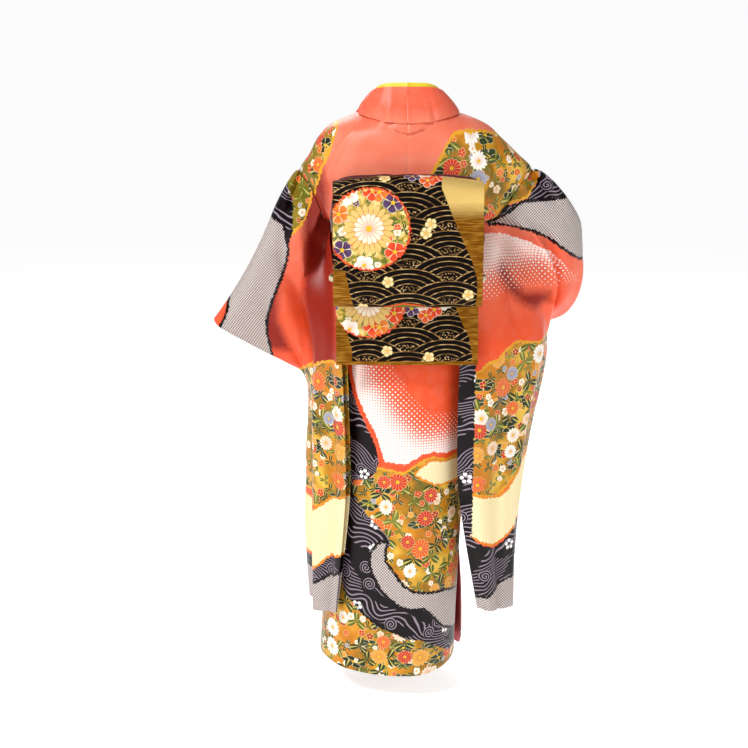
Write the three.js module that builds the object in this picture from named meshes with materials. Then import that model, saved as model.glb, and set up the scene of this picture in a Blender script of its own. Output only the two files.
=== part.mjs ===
// A long-sleeved furisode kimono as it hangs on its wearer, with its collar, under-collar, sash (obi),
// drum bow, pillow, scarf and cord. Every cloth is a thin wall. Millimetres, +Z up. The front faces -Y,
// the wearer's left is +X, and the origin is between the shoulders, where the wearer carries it.
import * as THREE from "three";

// ---- driving dimensions ----
const SILK = 1.6; // lined silk of the body panels
const SLEEVE_SILK = 1.4;
const COLLAR_CLOTH = 2;
const UNDER_COLLAR_CLOTH = 1.2;
const BROCADE = 3; // the sash is woven double
const LINING = 1.2;
const LAYER_GAP = 1.1; // air between a lining or under-collar and its cloth
const LAID_GAP = 1.4; // air between a collar and the panel it lies on
const SHOULDER_CLEARANCE = 2.6; // more of it where the collar turns over the shoulder
const SEAM_GAP_DEG = 0.1; // leaves about 0.4 mm at a seam
const SLEEVE_SEAM_GAP = 2;
const SEAM_DEG = { side: 90, overlap: 152 }; // measured round from the centre of the back
const ARMHOLE = { top: -135, bottom: -246, spread: 21, blend: 34 }; // levels, then half its angle
const UNDER_OVERLAP_DEG = 228; // how far round the hidden front reaches
const OVER_OVERLAP_DEG = { waist: 232, hem: 256 };
const OVER_LIFT = { chest: 7.4, skirt: 6.4, flare: 14 };
const SUPERELLIPSE = 2.2; // the body's plan, between an ellipse and a box
const HEM_REACH = -1200; // a fold that starts lower than this runs out at the hem
const SASH = { top: -272, bottom: -442, width: 315, lift: 17, cloth: 4 };
const TUCK = { top: -450, bottom: -524, cloth: 3 };

// Rings of the body from hem to neck: heights at back, side and front, then reach to each side.
// Over the shoulders the rings widen into the wings of the panels, out to the sleeve seams.
const BODY = [
  { level: -1288, side: -1270, front: -1280, left: 200, right: 120, back: 138, belly: 130 },
  { level: -1130, side: -1125, front: -1128, left: 191, right: 124, back: 131, belly: 128 },
  { level: -900, side: -900, front: -900, left: 177, right: 134, back: 126, belly: 126 },
  { level: -750, side: -750, front: -750, left: 168, right: 141, back: 125, belly: 125 },
  { level: -600, side: -600, front: -600, left: 160, right: 149, back: 124, belly: 124 },
  { level: -450, side: -450, front: -450, left: 148, right: 147, back: 115, belly: 117 },
  { level: -300, side: -300, front: -300, left: 149, right: 149, back: 116, belly: 118 },
  { level: -256, side: -256, front: -256, left: 155, right: 156, back: 118, belly: 120 },
  { level: -246, side: -249, front: -247, left: 169, right: 173, back: 119, belly: 120 },
  { level: -232, side: -241, front: -236, left: 188, right: 200, back: 119, belly: 119 },
  { level: -205, side: -214, front: -210, left: 204, right: 231, back: 120, belly: 116 },
  { level: -170, side: -172, front: -178, left: 221, right: 258, back: 121, belly: 112 },
  { level: -135, side: -136, front: -145, left: 234, right: 276, back: 121, belly: 105 },
  { level: -105, side: -104, front: -112, left: 214, right: 246, back: 120, belly: 98 },
  { level: -80, side: -68, front: -84, left: 195, right: 208, back: 118, belly: 92 },
  { level: -58, side: -40, front: -60, left: 168, right: 177, back: 115, belly: 87 },
  { level: -40, side: -20, front: -40, left: 127, right: 134, back: 110, belly: 80 },
  { level: -28, side: -10, front: -25, left: 99, right: 105, back: 105, belly: 72 },
];

// Where the body panels end at the collar: the level reached at each angle from the centre back.
const NECKLINE = [
  { deg: 0, level: -28 },
  { deg: 90, level: -28 },
  { deg: 112, level: -31 },
  { deg: 129, level: -41 },
  { deg: 146, level: -60 },
  { deg: 156, level: -84 },
  { deg: 169, level: -134 },
  { deg: 178, level: -190 },
  { deg: 187, level: -252 },
  { deg: 202, level: -322 },
  { deg: 260, level: -430 },
];

// Soft folds of the body: angle round, the levels it runs between, width and depth.
const BODY_FOLDS = [
  { deg: 41, from: -300, to: -56, width: 3.6, depth: 7 },
  { deg: -37, from: -300, to: -62, width: 3.6, depth: 6 },
  { deg: 49, from: -290, to: -90, width: 3.4, depth: -6 },
  { deg: -46, from: -290, to: -90, width: 4, depth: -5 },
  { deg: 58, from: -285, to: -110, width: 4, depth: 5 },
  { deg: -60, from: -285, to: -110, width: 5, depth: 6 },
  { deg: 108, from: -1290, to: -560, width: 9, depth: 5 },
  { deg: -112, from: -1290, to: -620, width: 9, depth: 5 },
  { deg: 128, from: -1290, to: -700, width: 7, depth: -5 },
  { deg: 44, from: -1290, to: -900, width: 10, depth: 4 },
  { deg: 222, from: -1290, to: -820, width: 8, depth: 5 },
];

// The collar from the centre back round to its end under the sash: the angle of its seam, how far the
// seam laps below the neckline, and its fold edge. A fold edge with no depth lies on the chest.
const COLLAR = [
  { deg: 0, lap: 5, fold: [0, 90, 44] },
  { deg: 33, lap: 5, fold: [50, 78, 43] },
  { deg: 62, lap: 6, fold: [76, 48, 35] },
  { deg: 92, lap: 3, fold: [85, 6, 18] },
  { deg: 122, lap: 3, fold: [71, -38, -8] },
  { deg: 148, lap: 5, fold: [42, -78, -46] },
  { deg: 162, lap: 8, fold: [8, null, -98] },
  { deg: 174, lap: 8, fold: [-32, null, -154] },
  { deg: 184, lap: 8, fold: [-72, null, -214] },
  { deg: 199, lap: 8, fold: [-104, null, -284] },
];

// The sleeves, row by row down the drop from the arm: the edge by the body (tail), the middle and the
// edge at the cuff, then how far each layer stands from the middle sheet at those three places.
// The first rows of the tail are taken from the armhole instead, as far down as it reaches.
const ARMHOLE_ROWS = 2;
const LEFT_SLEEVE = [
  { tail: [236, -2, -134], middle: [318, -30, -350], cuff: [416, -62, -500], room: [40, 38, 29] },
  { tail: [206, 2, -200], middle: [282, -34, -418], cuff: [340, -72, -547], room: [46, 30, 20] },
  { tail: [192, 8, -254], middle: [240, -36, -486], cuff: [270, -82, -587], room: [8, 16, 12] },
  { tail: [166, 98, -352], middle: [212, -34, -566], cuff: [228, -98, -630], room: [7, 12, 4] },
  { tail: [152, 116, -480], middle: [207, -20, -664], cuff: [214, -122, -730], room: [8, 9, 2] },
  { tail: [150, 118, -650], middle: [206, -6, -810], cuff: [213, -150, -856], room: [8, 8, 2] },
  { tail: [150, 118, -860], middle: [212, -2, -980], cuff: [212, -160, -1002], room: [8, 8, 2] },
  { tail: [168, 112, -1140], middle: [212, 2, -1166], cuff: [206, -162, -1186], room: [3, 3, 2] },
];
const RIGHT_SLEEVE = [
  { tail: [-278, -2, -134], middle: [-362, -60, -284], cuff: [-335, -235, -335], room: [40, 40, 28] },
  { tail: [-234, 2, -200], middle: [-372, -58, -350], cuff: [-342, -238, -412], room: [46, 30, 20] },
  { tail: [-196, 8, -254], middle: [-352, -28, -411], cuff: [-330, -234, -494], room: [8, 14, 12] },
  { tail: [-168, 100, -352], middle: [-308, -2, -436], cuff: [-302, -226, -562], room: [7, 9, 4] },
  { tail: [-156, 116, -470], middle: [-296, 24, -530], cuff: [-272, -216, -680], room: [8, 9, 2] },
  { tail: [-152, 118, -640], middle: [-262, 42, -700], cuff: [-236, -208, -830], room: [8, 8, 2] },
  { tail: [-154, 116, -850], middle: [-240, 50, -900], cuff: [-206, -204, -990], room: [8, 8, 2] },
  { tail: [-184, 110, -1128], middle: [-239, 56, -1140], cuff: [-172, -200, -1150], room: [3, 3, 2] },
];

// Folds of the sleeves: a line from one place to another, across (0 tail, 1 cuff) and down (in rows).
const LEFT_SLEEVE_FOLDS = [
  { across: [0.12, 0.3], down: [0.3, 3.6], width: 0.09, depth: 13 },
  { across: [0.3, 0.46], down: [0.2, 4], width: 0.08, depth: -11 },
  { across: [0.36, 0.3], down: [3, 7], width: 0.09, depth: 13 },
  { across: [0.62, 0.6], down: [3.2, 7], width: 0.1, depth: -15 },
  { across: [0.82, 0.8], down: [3.4, 7], width: 0.08, depth: 12 },
];
const RIGHT_SLEEVE_FOLDS = [
  { across: [0.02, 0.5], down: [1.2, 3.3], width: 0.09, depth: 15 },
  { across: [0.22, 0.62], down: [0.9, 2.8], width: 0.08, depth: -13 },
  { across: [0.3, 0.26], down: [3.6, 7], width: 0.09, depth: -9 },
  { across: [0.66, 0.6], down: [3, 7], width: 0.09, depth: 14 },
  { across: [0.84, 0.8], down: [3.2, 7], width: 0.08, depth: -13 },
];

// Side views of the bow, as how far back and how high: the drum, then the tail that hangs from it.
const DRUM = [
  { back: 136, high: -226 },
  { back: 137, high: -168 },
  { back: 150, high: -142 },
  { back: 172, high: -134 },
  { back: 194, high: -143 },
  { back: 206, high: -172 },
  { back: 213, high: -232 },
  { back: 217, high: -300 },
  { back: 215, high: -358 },
  { back: 206, high: -396 },
  { back: 190, high: -411 },
  { back: 175, high: -402 },
  { back: 170, high: -372 },
  { back: 169, high: -312 },
];
const TAIL = [
  { back: 158, high: -300 },
  { back: 159, high: -380 },
  { back: 160, high: -450 },
  { back: 161, high: -504 },
  { back: 160, high: -544 },
];

// ---- curves and walls ----
const lerp = (a, b, t) => a + (b - a) * t;
const clamp01 = (t) => Math.min(1, Math.max(0, t));
const smooth = (t) => clamp01(t) ** 2 * (3 - 2 * clamp01(t));
const bump = (x, width) => Math.exp(-((x / width) ** 2));
const steps = (count) => Array.from({ length: count + 1 }, (_, i) => i / count);

// A smooth value through a list of numbers, at a place counted in list steps.
function through(values, place) {
  const i = Math.min(values.length - 2, Math.max(0, Math.floor(place)));
  const t = place - i;
  const [b, c] = [values[i], values[i + 1]];
  const a = values[i - 1] ?? 2 * b - c;
  const d = values[i + 2] ?? 2 * c - b;
  return b + 0.5 * t * (c - a + t * (2 * a - 5 * b + 4 * c - d + t * (3 * (b - c) + d - a)));
}
const columnThrough = (rows, column, place) => through(rows.map((row) => row[column]), place);
const pointThrough = (rows, column, place) =>
  new THREE.Vector3(...[0, 1, 2].map((k) => through(rows.map((row) => row[column][k]), place)));

// The place in a table, counted in rows, where a rising column has a value.
function placeOf(rows, column, value) {
  let i = 0;
  while (i < rows.length - 2 && rows[i + 1][column] < value) i += 1;
  return i + clamp01((value - rows[i][column]) / (rows[i + 1][column] - rows[i][column]));
}

// The unit normal of surface(u, v) at a place.
function normalOf(surface, u, v, du, dv) {
  const across = surface(u + du, v).sub(surface(u - du, v));
  const along = surface(u, v + dv).sub(surface(u, v - dv));
  return across.cross(along).normalize();
}

// A closed wall between an outer and an inner grid of points. Rows may close on themselves, and the
// cells that isHole(i, j) names are left open.
function wall(outer, inner, closed = false, isHole = () => false) {
  const rows = outer.length;
  const cols = outer[0].length;
  const points = [...outer.flat(), ...inner.flat()];
  const inside = rows * cols;
  const at = (i, j) => i * cols + (j % cols);
  const index = [];
  const quad = (a, b, c, d) => index.push(a, b, c, a, c, d);
  const rims = new Map();
  for (let i = 0; i < rows - 1; i += 1) {
    for (let j = 0; j < (closed ? cols : cols - 1); j += 1) {
      if (isHole(i, j)) continue;
      const corners = [at(i, j), at(i, j + 1), at(i + 1, j + 1), at(i + 1, j)];
      const [a, b, c, d] = corners.map((corner) => corner + inside);
      quad(...corners);
      quad(a, d, c, b);
      corners.forEach((from, k) => {
        const to = corners[(k + 1) % 4];
        if (!rims.delete(`${to},${from}`)) rims.set(`${from},${to}`, [from, to]);
      });
    }
  }
  for (const [from, to] of rims.values()) quad(to, from, from + inside, to + inside);
  return facingOut(points, index);
}

// A geometry from points and triangles, turned so that its faces point outwards.
function facingOut(points, index) {
  let volume = 0;
  for (let i = 0; i < index.length; i += 3) {
    const [a, b, c] = [points[index[i]], points[index[i + 1]], points[index[i + 2]]];
    volume += a.dot(b.clone().cross(c));
  }
  const triangles = volume < 0 ? index.slice().reverse() : index;
  const geometry = new THREE.BufferGeometry();
  geometry.setAttribute("position", new THREE.Float32BufferAttribute(points.flatMap((p) => p.toArray()), 3));
  geometry.setIndex(triangles);
  geometry.computeVertexNormals();
  return geometry;
}

// ---- the form of the body ----
// A point of the plain body form, at an angle round from the centre back and a level.
function bodyForm(deg, level) {
  const place = placeOf(BODY, "level", level);
  const column = (name) => columnThrough(BODY, name, place);
  const angle = THREE.MathUtils.degToRad(deg);
  const [s, c] = [Math.sin(angle), Math.cos(angle)];
  const across = Math.sign(s) * Math.abs(s) ** (2 / SUPERELLIPSE) * column(s > 0 ? "left" : "right");
  const depth = Math.sign(c) * Math.abs(c) ** (2 / SUPERELLIPSE) * column(c > 0 ? "back" : "belly");
  const high = lerp(column("side"), column(c > 0 ? "level" : "front"), c * c);
  let fold = 0;
  for (const f of BODY_FOLDS) {
    const turn = ((deg - f.deg + 540) % 360) - 180;
    const along = clamp01((level - f.from) / (f.to - f.from));
    const reached = level >= f.from && level <= f.to;
    const ends = reached ? Math.sin(Math.PI * lerp(f.from < HEM_REACH ? 0.5 : 0, 1, along)) : 0;
    fold += f.depth * bump(turn, f.width) * ends;
  }
  const grow = 1 + fold / Math.hypot(across, depth);
  return new THREE.Vector3(across * grow, depth * grow, high);
}

// A point lifted off the body form.
function onBody(deg, level, lift) {
  const outward = normalOf(bodyForm, deg, level, 1, 4);
  const point = bodyForm(deg, level);
  if (outward.x * point.x + outward.y * point.y < 0) outward.negate();
  return point.addScaledVector(outward, lift);
}

// How far round an edge of the armhole is: its edges meet at the side seam above and below it.
function armholeEdge(level, sign) {
  const fromBottom = smooth((level - ARMHOLE.bottom) / ARMHOLE.blend);
  const fromTop = smooth((ARMHOLE.top - level) / ARMHOLE.blend);
  return SEAM_DEG.side + sign * (0.25 + ARMHOLE.spread * fromBottom * fromTop);
}

// The over-front stands off the under-front where they cross.
function overLift(deg, level) {
  const full = lerp(OVER_LIFT.skirt, OVER_LIFT.chest, smooth((level + 600) / 200));
  const flare = OVER_LIFT.flare * smooth((-860 - level) / 400) * smooth((deg - 218) / 38);
  return full * smooth((deg - 98) / 27) + flare;
}

const necklineAt = (deg) => columnThrough(NECKLINE, "level", placeOf(NECKLINE, "deg", deg));

// A row of the body panels keeps its level below the armhole's top and above it rises to the neckline.
function rowLevel(row, deg) {
  const top = BODY.at(-1).level;
  if (row <= ARMHOLE.top) return row;
  return lerp(ARMHOLE.top, necklineAt(deg), (row - ARMHOLE.top) / (top - ARMHOLE.top));
}

// ---- the pieces ----
const ARMHOLE_LEVELS = [-246, -240, -228, -212, -192, -168, -150, -135];
const PANEL_LEVELS = [-1288, -1190, -1060, -900, -750, -600, -500, -440, -360, -290, -256,
  ...ARMHOLE_LEVELS, -118, -100, -84, -68, -54, -40, -28];
const BACK_DEGS = [0, 10, 20, 29, 35, 39, 43, 48, 54, 60];
const FRONT_STEPS = 8;

const sideOf = (side) => (side > 0 ? "left" : "right");

// A body panel goes from the centre back round the side, under and over the armhole, to the overlap.
function bodyPanel(side) {
  const over = side > 0;
  const degsAt = (level) => {
    const [back, front] = [armholeEdge(level, -1), armholeEdge(level, 1)];
    const widest = BACK_DEGS.at(-1);
    return [
      SEAM_GAP_DEG,
      ...BACK_DEGS.slice(1),
      lerp(widest, back, 0.5),
      back,
      ...steps(FRONT_STEPS).map((t) => lerp(front, SEAM_DEG.overlap - SEAM_GAP_DEG, t)),
    ];
  };
  const layer = (depth) =>
    PANEL_LEVELS.map((row) =>
      degsAt(row).map((deg) => {
        const level = rowLevel(row, deg);
        return onBody(side * deg, level, (over ? overLift(deg, level) : 0) - depth);
      }),
    );
  const slit = BACK_DEGS.length + 1;
  const isHole = (i, j) => j === slit && PANEL_LEVELS[i] >= ARMHOLE.bottom && PANEL_LEVELS[i] < ARMHOLE.top;
  return wall(layer(0), layer(SILK), false, isHole);
}

// A point of an overlap panel, by its share of the width and its row.
function overlapPoint(side, share, row, depth) {
  const over = side > 0;
  const seam = SEAM_DEG.overlap;
  const hem = BODY[0].level;
  const seamLevel = rowLevel(row, seam);
  const edge = over
    ? lerp(OVER_OVERLAP_DEG.waist, OVER_OVERLAP_DEG.hem, smooth((-600 - row) / 650))
    : UNDER_OVERLAP_DEG;
  const deg = lerp(seam + SEAM_GAP_DEG, edge, share);
  const level = lerp(hem, necklineAt(deg), (seamLevel - hem) / (necklineAt(seam) - hem));
  return onBody(side * deg, level, (over ? overLift(deg, level) : 0) - depth);
}
const OVERLAP_STEPS = 6;
function overlapPanel(side) {
  const layer = (depth) =>
    PANEL_LEVELS.map((row) => steps(OVERLAP_STEPS).map((share) => overlapPoint(side, share, row, depth)));
  return wall(layer(0), layer(SILK));
}

// The red lining that shows past the free edge of the over-front, near the hem.
function overlapLining() {
  const shares = [4 / 6, 5 / 6, 1, 1.04];
  const rows = PANEL_LEVELS.slice(0, 4);
  const layer = (depth) =>
    rows.map((row) => shares.map((share) => overlapPoint(1, share, row, SILK + LAYER_GAP + depth)));
  return wall(layer(0), layer(LINING));
}

// One half of a collar band, from the centre back to its end under the sash.
function collarHalf(side, { thickness, inset, reach, end }) {
  const over = side > 0;
  const lift = LAID_GAP + COLLAR_CLOTH;
  const chestLift = (over ? OVER_LIFT.chest : 0) + lift;
  const folds = COLLAR.map(({ fold: [x, y, z] }) => ({
    fold: y === null ? onChest(side * x, z, chestLift).toArray() : [side * x, y, z],
  }));
  const last = COLLAR.length - 1;
  const places = steps(2 * last).map((t) => t * last).filter((t) => t <= end);
  const firstOnChest = COLLAR.findIndex((row) => row.fold[1] === null);
  const seamAt = (place) => {
    const deg = columnThrough(COLLAR, "deg", place);
    const level = necklineAt(deg) - columnThrough(COLLAR, "lap", place);
    const shoulder = SHOULDER_CLEARANCE * bump(deg - 126, 26);
    return onBody(side * deg, level, (over ? overLift(deg, level) : 0) + lift + shoulder);
  };
  const middle = (place, across) => {
    const point = seamAt(place).lerp(pointThrough(folds, "fold", place), across);
    const laid = smooth(place - firstOnChest + 1);
    if (laid > 0) point.lerp(onChest(point.x, point.z, chestLift), laid);
    return point;
  };
  const layer = (depth) =>
    places.map((place) =>
      steps(3).map((u) => {
        const across = lerp(reach[0], reach[1], u);
        const outward = normalOf(middle, Math.max(0.06, place), across, 0.05, 0.05);
        const point = middle(place, across);
        if (outward.dot(new THREE.Vector3(-point.x * 0.2, -point.y, -60)) > 0) outward.negate();
        if (place === 0) outward.x = 0;
        const crown = (2.6 - 2 * smooth((place - 3) / 2)) * 4 * across * (1 - across);
        point.addScaledVector(outward, crown - inset - depth);
        if (place === 0) point.x = side * 0.2;
        return point;
      }),
    );
  return wall(layer(0), layer(thickness));
}

// The point of the chest at a distance from the middle and a height, with a lift off the body.
function onChest(across, high, lift) {
  let deg = 180;
  let level = high;
  for (let i = 0; i < 16; i += 1) {
    const point = onBody(deg, level, lift);
    level += 0.8 * (high - point.z);
    deg -= (0.8 * (across - point.x)) / 3.2;
  }
  return onBody(deg, level, lift);
}

// A band round the body between two levels, with its own lift at each angle and level.
function bandRound({ levels, lift, thickness, segments }) {
  const layer = (depth) =>
    levels.map((level) =>
      Array.from({ length: segments }, (_, j) => {
        const deg = (j * 360) / segments;
        return plainBody(deg, level, lift(deg, level) - depth);
      }),
    );
  return wall(layer(0), layer(thickness), true);
}

// The body form at the waist without its folds, grown evenly by a lift.
function plainBody(deg, level, lift) {
  const place = placeOf(BODY, "level", level);
  const angle = THREE.MathUtils.degToRad(deg);
  const [s, c] = [Math.sin(angle), Math.cos(angle)];
  const across = columnThrough(BODY, s > 0 ? "left" : "right", place) + lift;
  const depth = columnThrough(BODY, c > 0 ? "back" : "belly", place) + lift;
  return new THREE.Vector3(
    Math.sign(s) * Math.abs(s) ** (2 / SUPERELLIPSE) * across,
    Math.sign(c) * Math.abs(c) ** (2 / SUPERELLIPSE) * depth,
    level,
  );
}

// The folded tuck below the sash, fullest at the wearer's right.
const tuckLift = (deg, level) => {
  const down = clamp01((TUCK.top - level) / (TUCK.top - TUCK.bottom));
  const right = bump(((deg - 262 + 540) % 360) - 180, 34);
  const belly = Math.sin(Math.PI * Math.min(1, 0.12 + down * 0.78));
  return 9.5 + 5 * down + (6 + 9 * right) * belly;
};

// A sleeve: a bag whose rings run down the back layer, round the bottom and up the front layer. Its
// first ring follows the armhole of the body panel as far down as that reaches.
function sleeve(side, rows, folds) {
  const last = rows.length - 1;
  const sheet = (across, down) => {
    const [tail, middle, cuff] = ["tail", "middle", "cuff"].map((edge) => pointThrough(rows, edge, down));
    return tail
      .multiplyScalar((1 - across) * (1 - 2 * across))
      .addScaledVector(middle, 4 * across * (1 - across))
      .addScaledVector(cuff, across * (2 * across - 1));
  };
  const facing = normalOf(sheet, 0.2, 4, 0.02, 0.06).y < 0 ? -1 : 1;
  const faceBack = (across, down) => normalOf(sheet, across, down, 0.02, 0.06).multiplyScalar(facing);
  const roomAt = (across, down) => {
    const [tail, middle, cuff] = [0, 1, 2].map((k) => through(rows.map((row) => row.room[k]), down));
    const room = tail * (1 - across) * (1 - 2 * across) + middle * 4 * across * (1 - across)
      + cuff * across * (2 * across - 1);
    return Math.max(2, room);
  };
  const foldAt = (across, down) =>
    folds.reduce((sum, f) => {
      const along = (down - f.down[0]) / (f.down[1] - f.down[0]);
      const ends = f.down[1] >= last ? smooth(along * 2.4) : Math.sin(Math.PI * clamp01(along));
      const edge = smooth(across / 0.1) * smooth((1 - across) / 0.1);
      return sum + f.depth * bump(across - lerp(...f.across, clamp01(along)), f.width) * ends * edge;
    }, 0);
  const seamLevels = ARMHOLE_LEVELS.slice(1, -1).reverse();
  const attached = seamLevels.map((_, i) => (ARMHOLE_ROWS * (i + 0.5)) / seamLevels.length);
  const free = steps(2 * (last - ARMHOLE_ROWS)).map((t) => lerp(ARMHOLE_ROWS, last, t));
  const downs = [...attached, ...free];
  const plainPoint = (across, down, sign, skin) => {
    const away = foldAt(across, down) + sign * (roomAt(across, down) - skin);
    return sheet(across, down).addScaledVector(faceBack(across, down), away);
  };
  // How far the first ring is moved to sit on the armhole's edge.
  const seamShift = (down, sign, skin) => {
    const i = attached.indexOf(down);
    const level = i < 0 ? ARMHOLE.bottom : seamLevels[i];
    const deg = armholeEdge(level, -sign);
    const edge = onBody(side * deg, level, (side > 0 ? overLift(deg, level) : 0) - skin);
    edge.x += side * SLEEVE_SEAM_GAP;
    const fade = i < 0 ? 1 - smooth((down - ARMHOLE_ROWS) / 0.45) : 1;
    return edge.sub(plainPoint(0, i < 0 ? ARMHOLE_ROWS : down, sign, skin)).multiplyScalar(fade);
  };
  const ring = (across, skin) => {
    const hold = 1 - smooth(across / 0.3);
    const layerPoint = (down, sign) =>
      plainPoint(across, down, sign, skin).addScaledVector(seamShift(down, sign, skin), hold);
    const cap = () => {
      const size = roomAt(across, 0) - skin;
      const off = sheet(across, 0).sub(sheet(across, 0.1)).normalize();
      return [1, 2, 3].map((i) => {
        const angle = (Math.PI * i) / 4;
        const plain = sheet(across, 0)
          .addScaledVector(faceBack(across, 0), foldAt(across, 0) + size * Math.cos(angle))
          .addScaledVector(off, size * Math.sin(angle));
        const spread = onBody(side * (SEAM_DEG.side - 4 * Math.cos(angle)), ARMHOLE.top - 3, -skin);
        spread.x += side * SLEEVE_SEAM_GAP;
        return plain.lerp(spread, hold);
      });
    };
    const bottom = sheet(across, last)
      .addScaledVector(sheet(across, last).sub(sheet(across, last - 0.1)).normalize(), 2 - skin)
      .addScaledVector(faceBack(across, last), foldAt(across, last));
    return [
      ...downs.slice().reverse().map((down) => layerPoint(down, 1)),
      ...cap(),
      ...downs.map((down) => layerPoint(down, -1)),
      bottom,
    ];
  };
  const rings = (skin) => steps(13).map((across) => ring(across, skin));
  return wall(rings(0), rings(SLEEVE_SILK), true);
}

// A strip of the sash that follows a side view, bowed a little across its width.
function sashStrip(profile, { width, bow, arch, perRow }) {
  const last = profile.length - 1;
  const side = (place) =>
    new THREE.Vector2(columnThrough(profile, "back", place), columnThrough(profile, "high", place));
  const layer = (depth) =>
    steps(perRow * last).map((t) => {
      const place = t * last;
      const slope = side(Math.min(last, place + 0.05)).sub(side(Math.max(0, place - 0.05))).normalize();
      const point = side(place).add(new THREE.Vector2(-slope.y, slope.x).multiplyScalar(-depth));
      return steps(6).map((u) => {
        const across = 2 * u - 1;
        const drop = across * across;
        return new THREE.Vector3((width / 2) * across, point.x - bow * drop, point.y - arch(place) * drop);
      });
    });
  return wall(layer(0), layer(BROCADE));
}

// A closed soft loop through stations, with a flattened section.
function softLoop(stations, section) {
  const curve = new THREE.CatmullRomCurve3(stations.map((p) => new THREE.Vector3(...p)), true);
  const count = section.steps;
  const rings = Array.from({ length: count + 1 }, (_, i) => {
    const t = (i % count) / count;
    const point = curve.getPointAt(t);
    const along = curve.getTangentAt(t);
    const out = new THREE.Vector3(point.x, point.y, 0).normalize();
    out.addScaledVector(along, -out.dot(along)).normalize();
    const up = along.clone().cross(out).normalize();
    if (up.z < 0) up.negate();
    return Array.from({ length: section.sides }, (_, k) => {
      const angle = (2 * Math.PI * k) / section.sides;
      return point
        .clone()
        .addScaledVector(out, (Math.cos(angle) * section.thick) / 2)
        .addScaledVector(up, (Math.sin(angle) * section.tall(t)) / 2);
    });
  });
  const points = rings.slice(0, count).flat();
  const index = [];
  for (let i = 0; i < count; i += 1) {
    for (let k = 0; k < section.sides; k += 1) {
      const [a, b] = [i * section.sides, ((i + 1) % count) * section.sides];
      const next = (k + 1) % section.sides;
      index.push(a + k, b + k, b + next, a + k, b + next, a + next);
    }
  }
  return facingOut(points, index);
}

const mirrored = (half) => [...half, ...half.slice(1, -1).reverse().map(([x, y, z]) => [-x, y, z])];
const SCARF_ROUTE = mirrored([
  [0, 129, -148],
  [80, 128, -149],
  [140, 125, -156],
  [153, 118, -182],
  [160, 106, -225],
  [161, 80, -255],
  [162, 46, -262.5],
  [163, 0, -262.5],
  [150, -76, -262.5],
  [88, -124, -262.5],
  [0, -143, -262.5],
]);
const CORD_ROUTE = mirrored([
  [0, 187, -352],
  [90, 187, -352],
  [148, 186, -352],
  [164, 174, -352],
  [163, 150, -352],
  [152, 118, -352],
  [146, 92, -352],
  [159, 58, -353],
  [170.5, 0, -354],
  [155, -82, -356],
  [90, -128, -357],
  [0, -142, -358],
]);

// The scarf is fuller along the top of the drum than round the waist.
const scarfHeight = (t) => 17 + 8 * smooth((Math.abs(t - 0.5) - 0.34) / 0.06);

// A small rounded knot or pad: a stretched sphere.
function softPad([x, y, z], [wide, deep, tall], detail = 12) {
  const geometry = new THREE.SphereGeometry(0.5, detail, detail * 0.7);
  geometry.scale(wide, deep, tall);
  geometry.translate(x, y, z);
  return geometry;
}

// ---- materials and assembly ----
const cloth = (color, roughness) => new THREE.MeshStandardMaterial({ color, roughness, metalness: 0 });
const CORAL = cloth("#e8604a", 0.45);
const BLACK_GOLD = cloth("#2a1c12", 0.4);
const MAROON = cloth("#5c1418", 0.6);
const YELLOW = cloth("#e3b52a", 0.5);
const RED = cloth("#b5121b", 0.5);
const IVORY = cloth("#e9e0cf", 0.6);

const kimono = new THREE.Group();
function add(name, geometry, material) {
  const mesh = new THREE.Mesh(geometry, material);
  mesh.name = name;
  kimono.add(mesh);
}

for (const side of [1, -1]) {
  add(`body_${sideOf(side)}`, bodyPanel(side), CORAL);
  add(`overlap_${sideOf(side)}`, overlapPanel(side), CORAL);
}
add("hem_lining_red", overlapLining(), RED);
for (const side of [1, -1]) {
  const name = sideOf(side);
  const band = { thickness: COLLAR_CLOTH, inset: 0, reach: [0, 1], end: COLLAR.length - 1 };
  const under = { thickness: UNDER_COLLAR_CLOTH, inset: COLLAR_CLOTH + LAYER_GAP, reach: [0.4, 1.13], end: 8.5 };
  add(`collar_${name}`, collarHalf(side, band), CORAL);
  add(`under_collar_${name}`, collarHalf(side, under), YELLOW);
}
add("sleeve_left", sleeve(1, LEFT_SLEEVE, LEFT_SLEEVE_FOLDS), CORAL);
add("sleeve_right", sleeve(-1, RIGHT_SLEEVE, RIGHT_SLEEVE_FOLDS), CORAL);
add("waist_tuck", bandRound({
  levels: [TUCK.top, -468, -492, -512, TUCK.bottom],
  lift: tuckLift,
  thickness: TUCK.cloth,
  segments: 42,
}), CORAL);
add("sash_wrap", bandRound({
  levels: [SASH.bottom, -386, -328, SASH.top],
  lift: () => SASH.lift,
  thickness: SASH.cloth,
  segments: 42,
}), BLACK_GOLD);
add("sash_drum", sashStrip(DRUM, {
  width: SASH.width,
  bow: 9,
  arch: (place) => 13 * bump(place - 3, 2.2),
  perRow: 2,
}), BLACK_GOLD);
add("sash_tail", sashStrip(TAIL, { width: SASH.width - 8, bow: 10, arch: () => 2, perRow: 1 }), BLACK_GOLD);
add("bow_pillow", softPad([0, 172, -160], [230, 52, 36], 14), MAROON);
add("scarf", softLoop(SCARF_ROUTE, { steps: 38, sides: 8, thick: 8, tall: scarfHeight }), MAROON);
add("cord", softLoop(CORD_ROUTE, { steps: 44, sides: 6, thick: 5, tall: () => 11 }), IVORY);
add("cord_knot", softPad([0, -150.6, -358], [30, 10, 19]), IVORY);

export default kimono;
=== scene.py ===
"""A long-sleeved formal kimono in its worn form, with its sash tied in a drum bow, dressed in silk."""

import math

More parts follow.
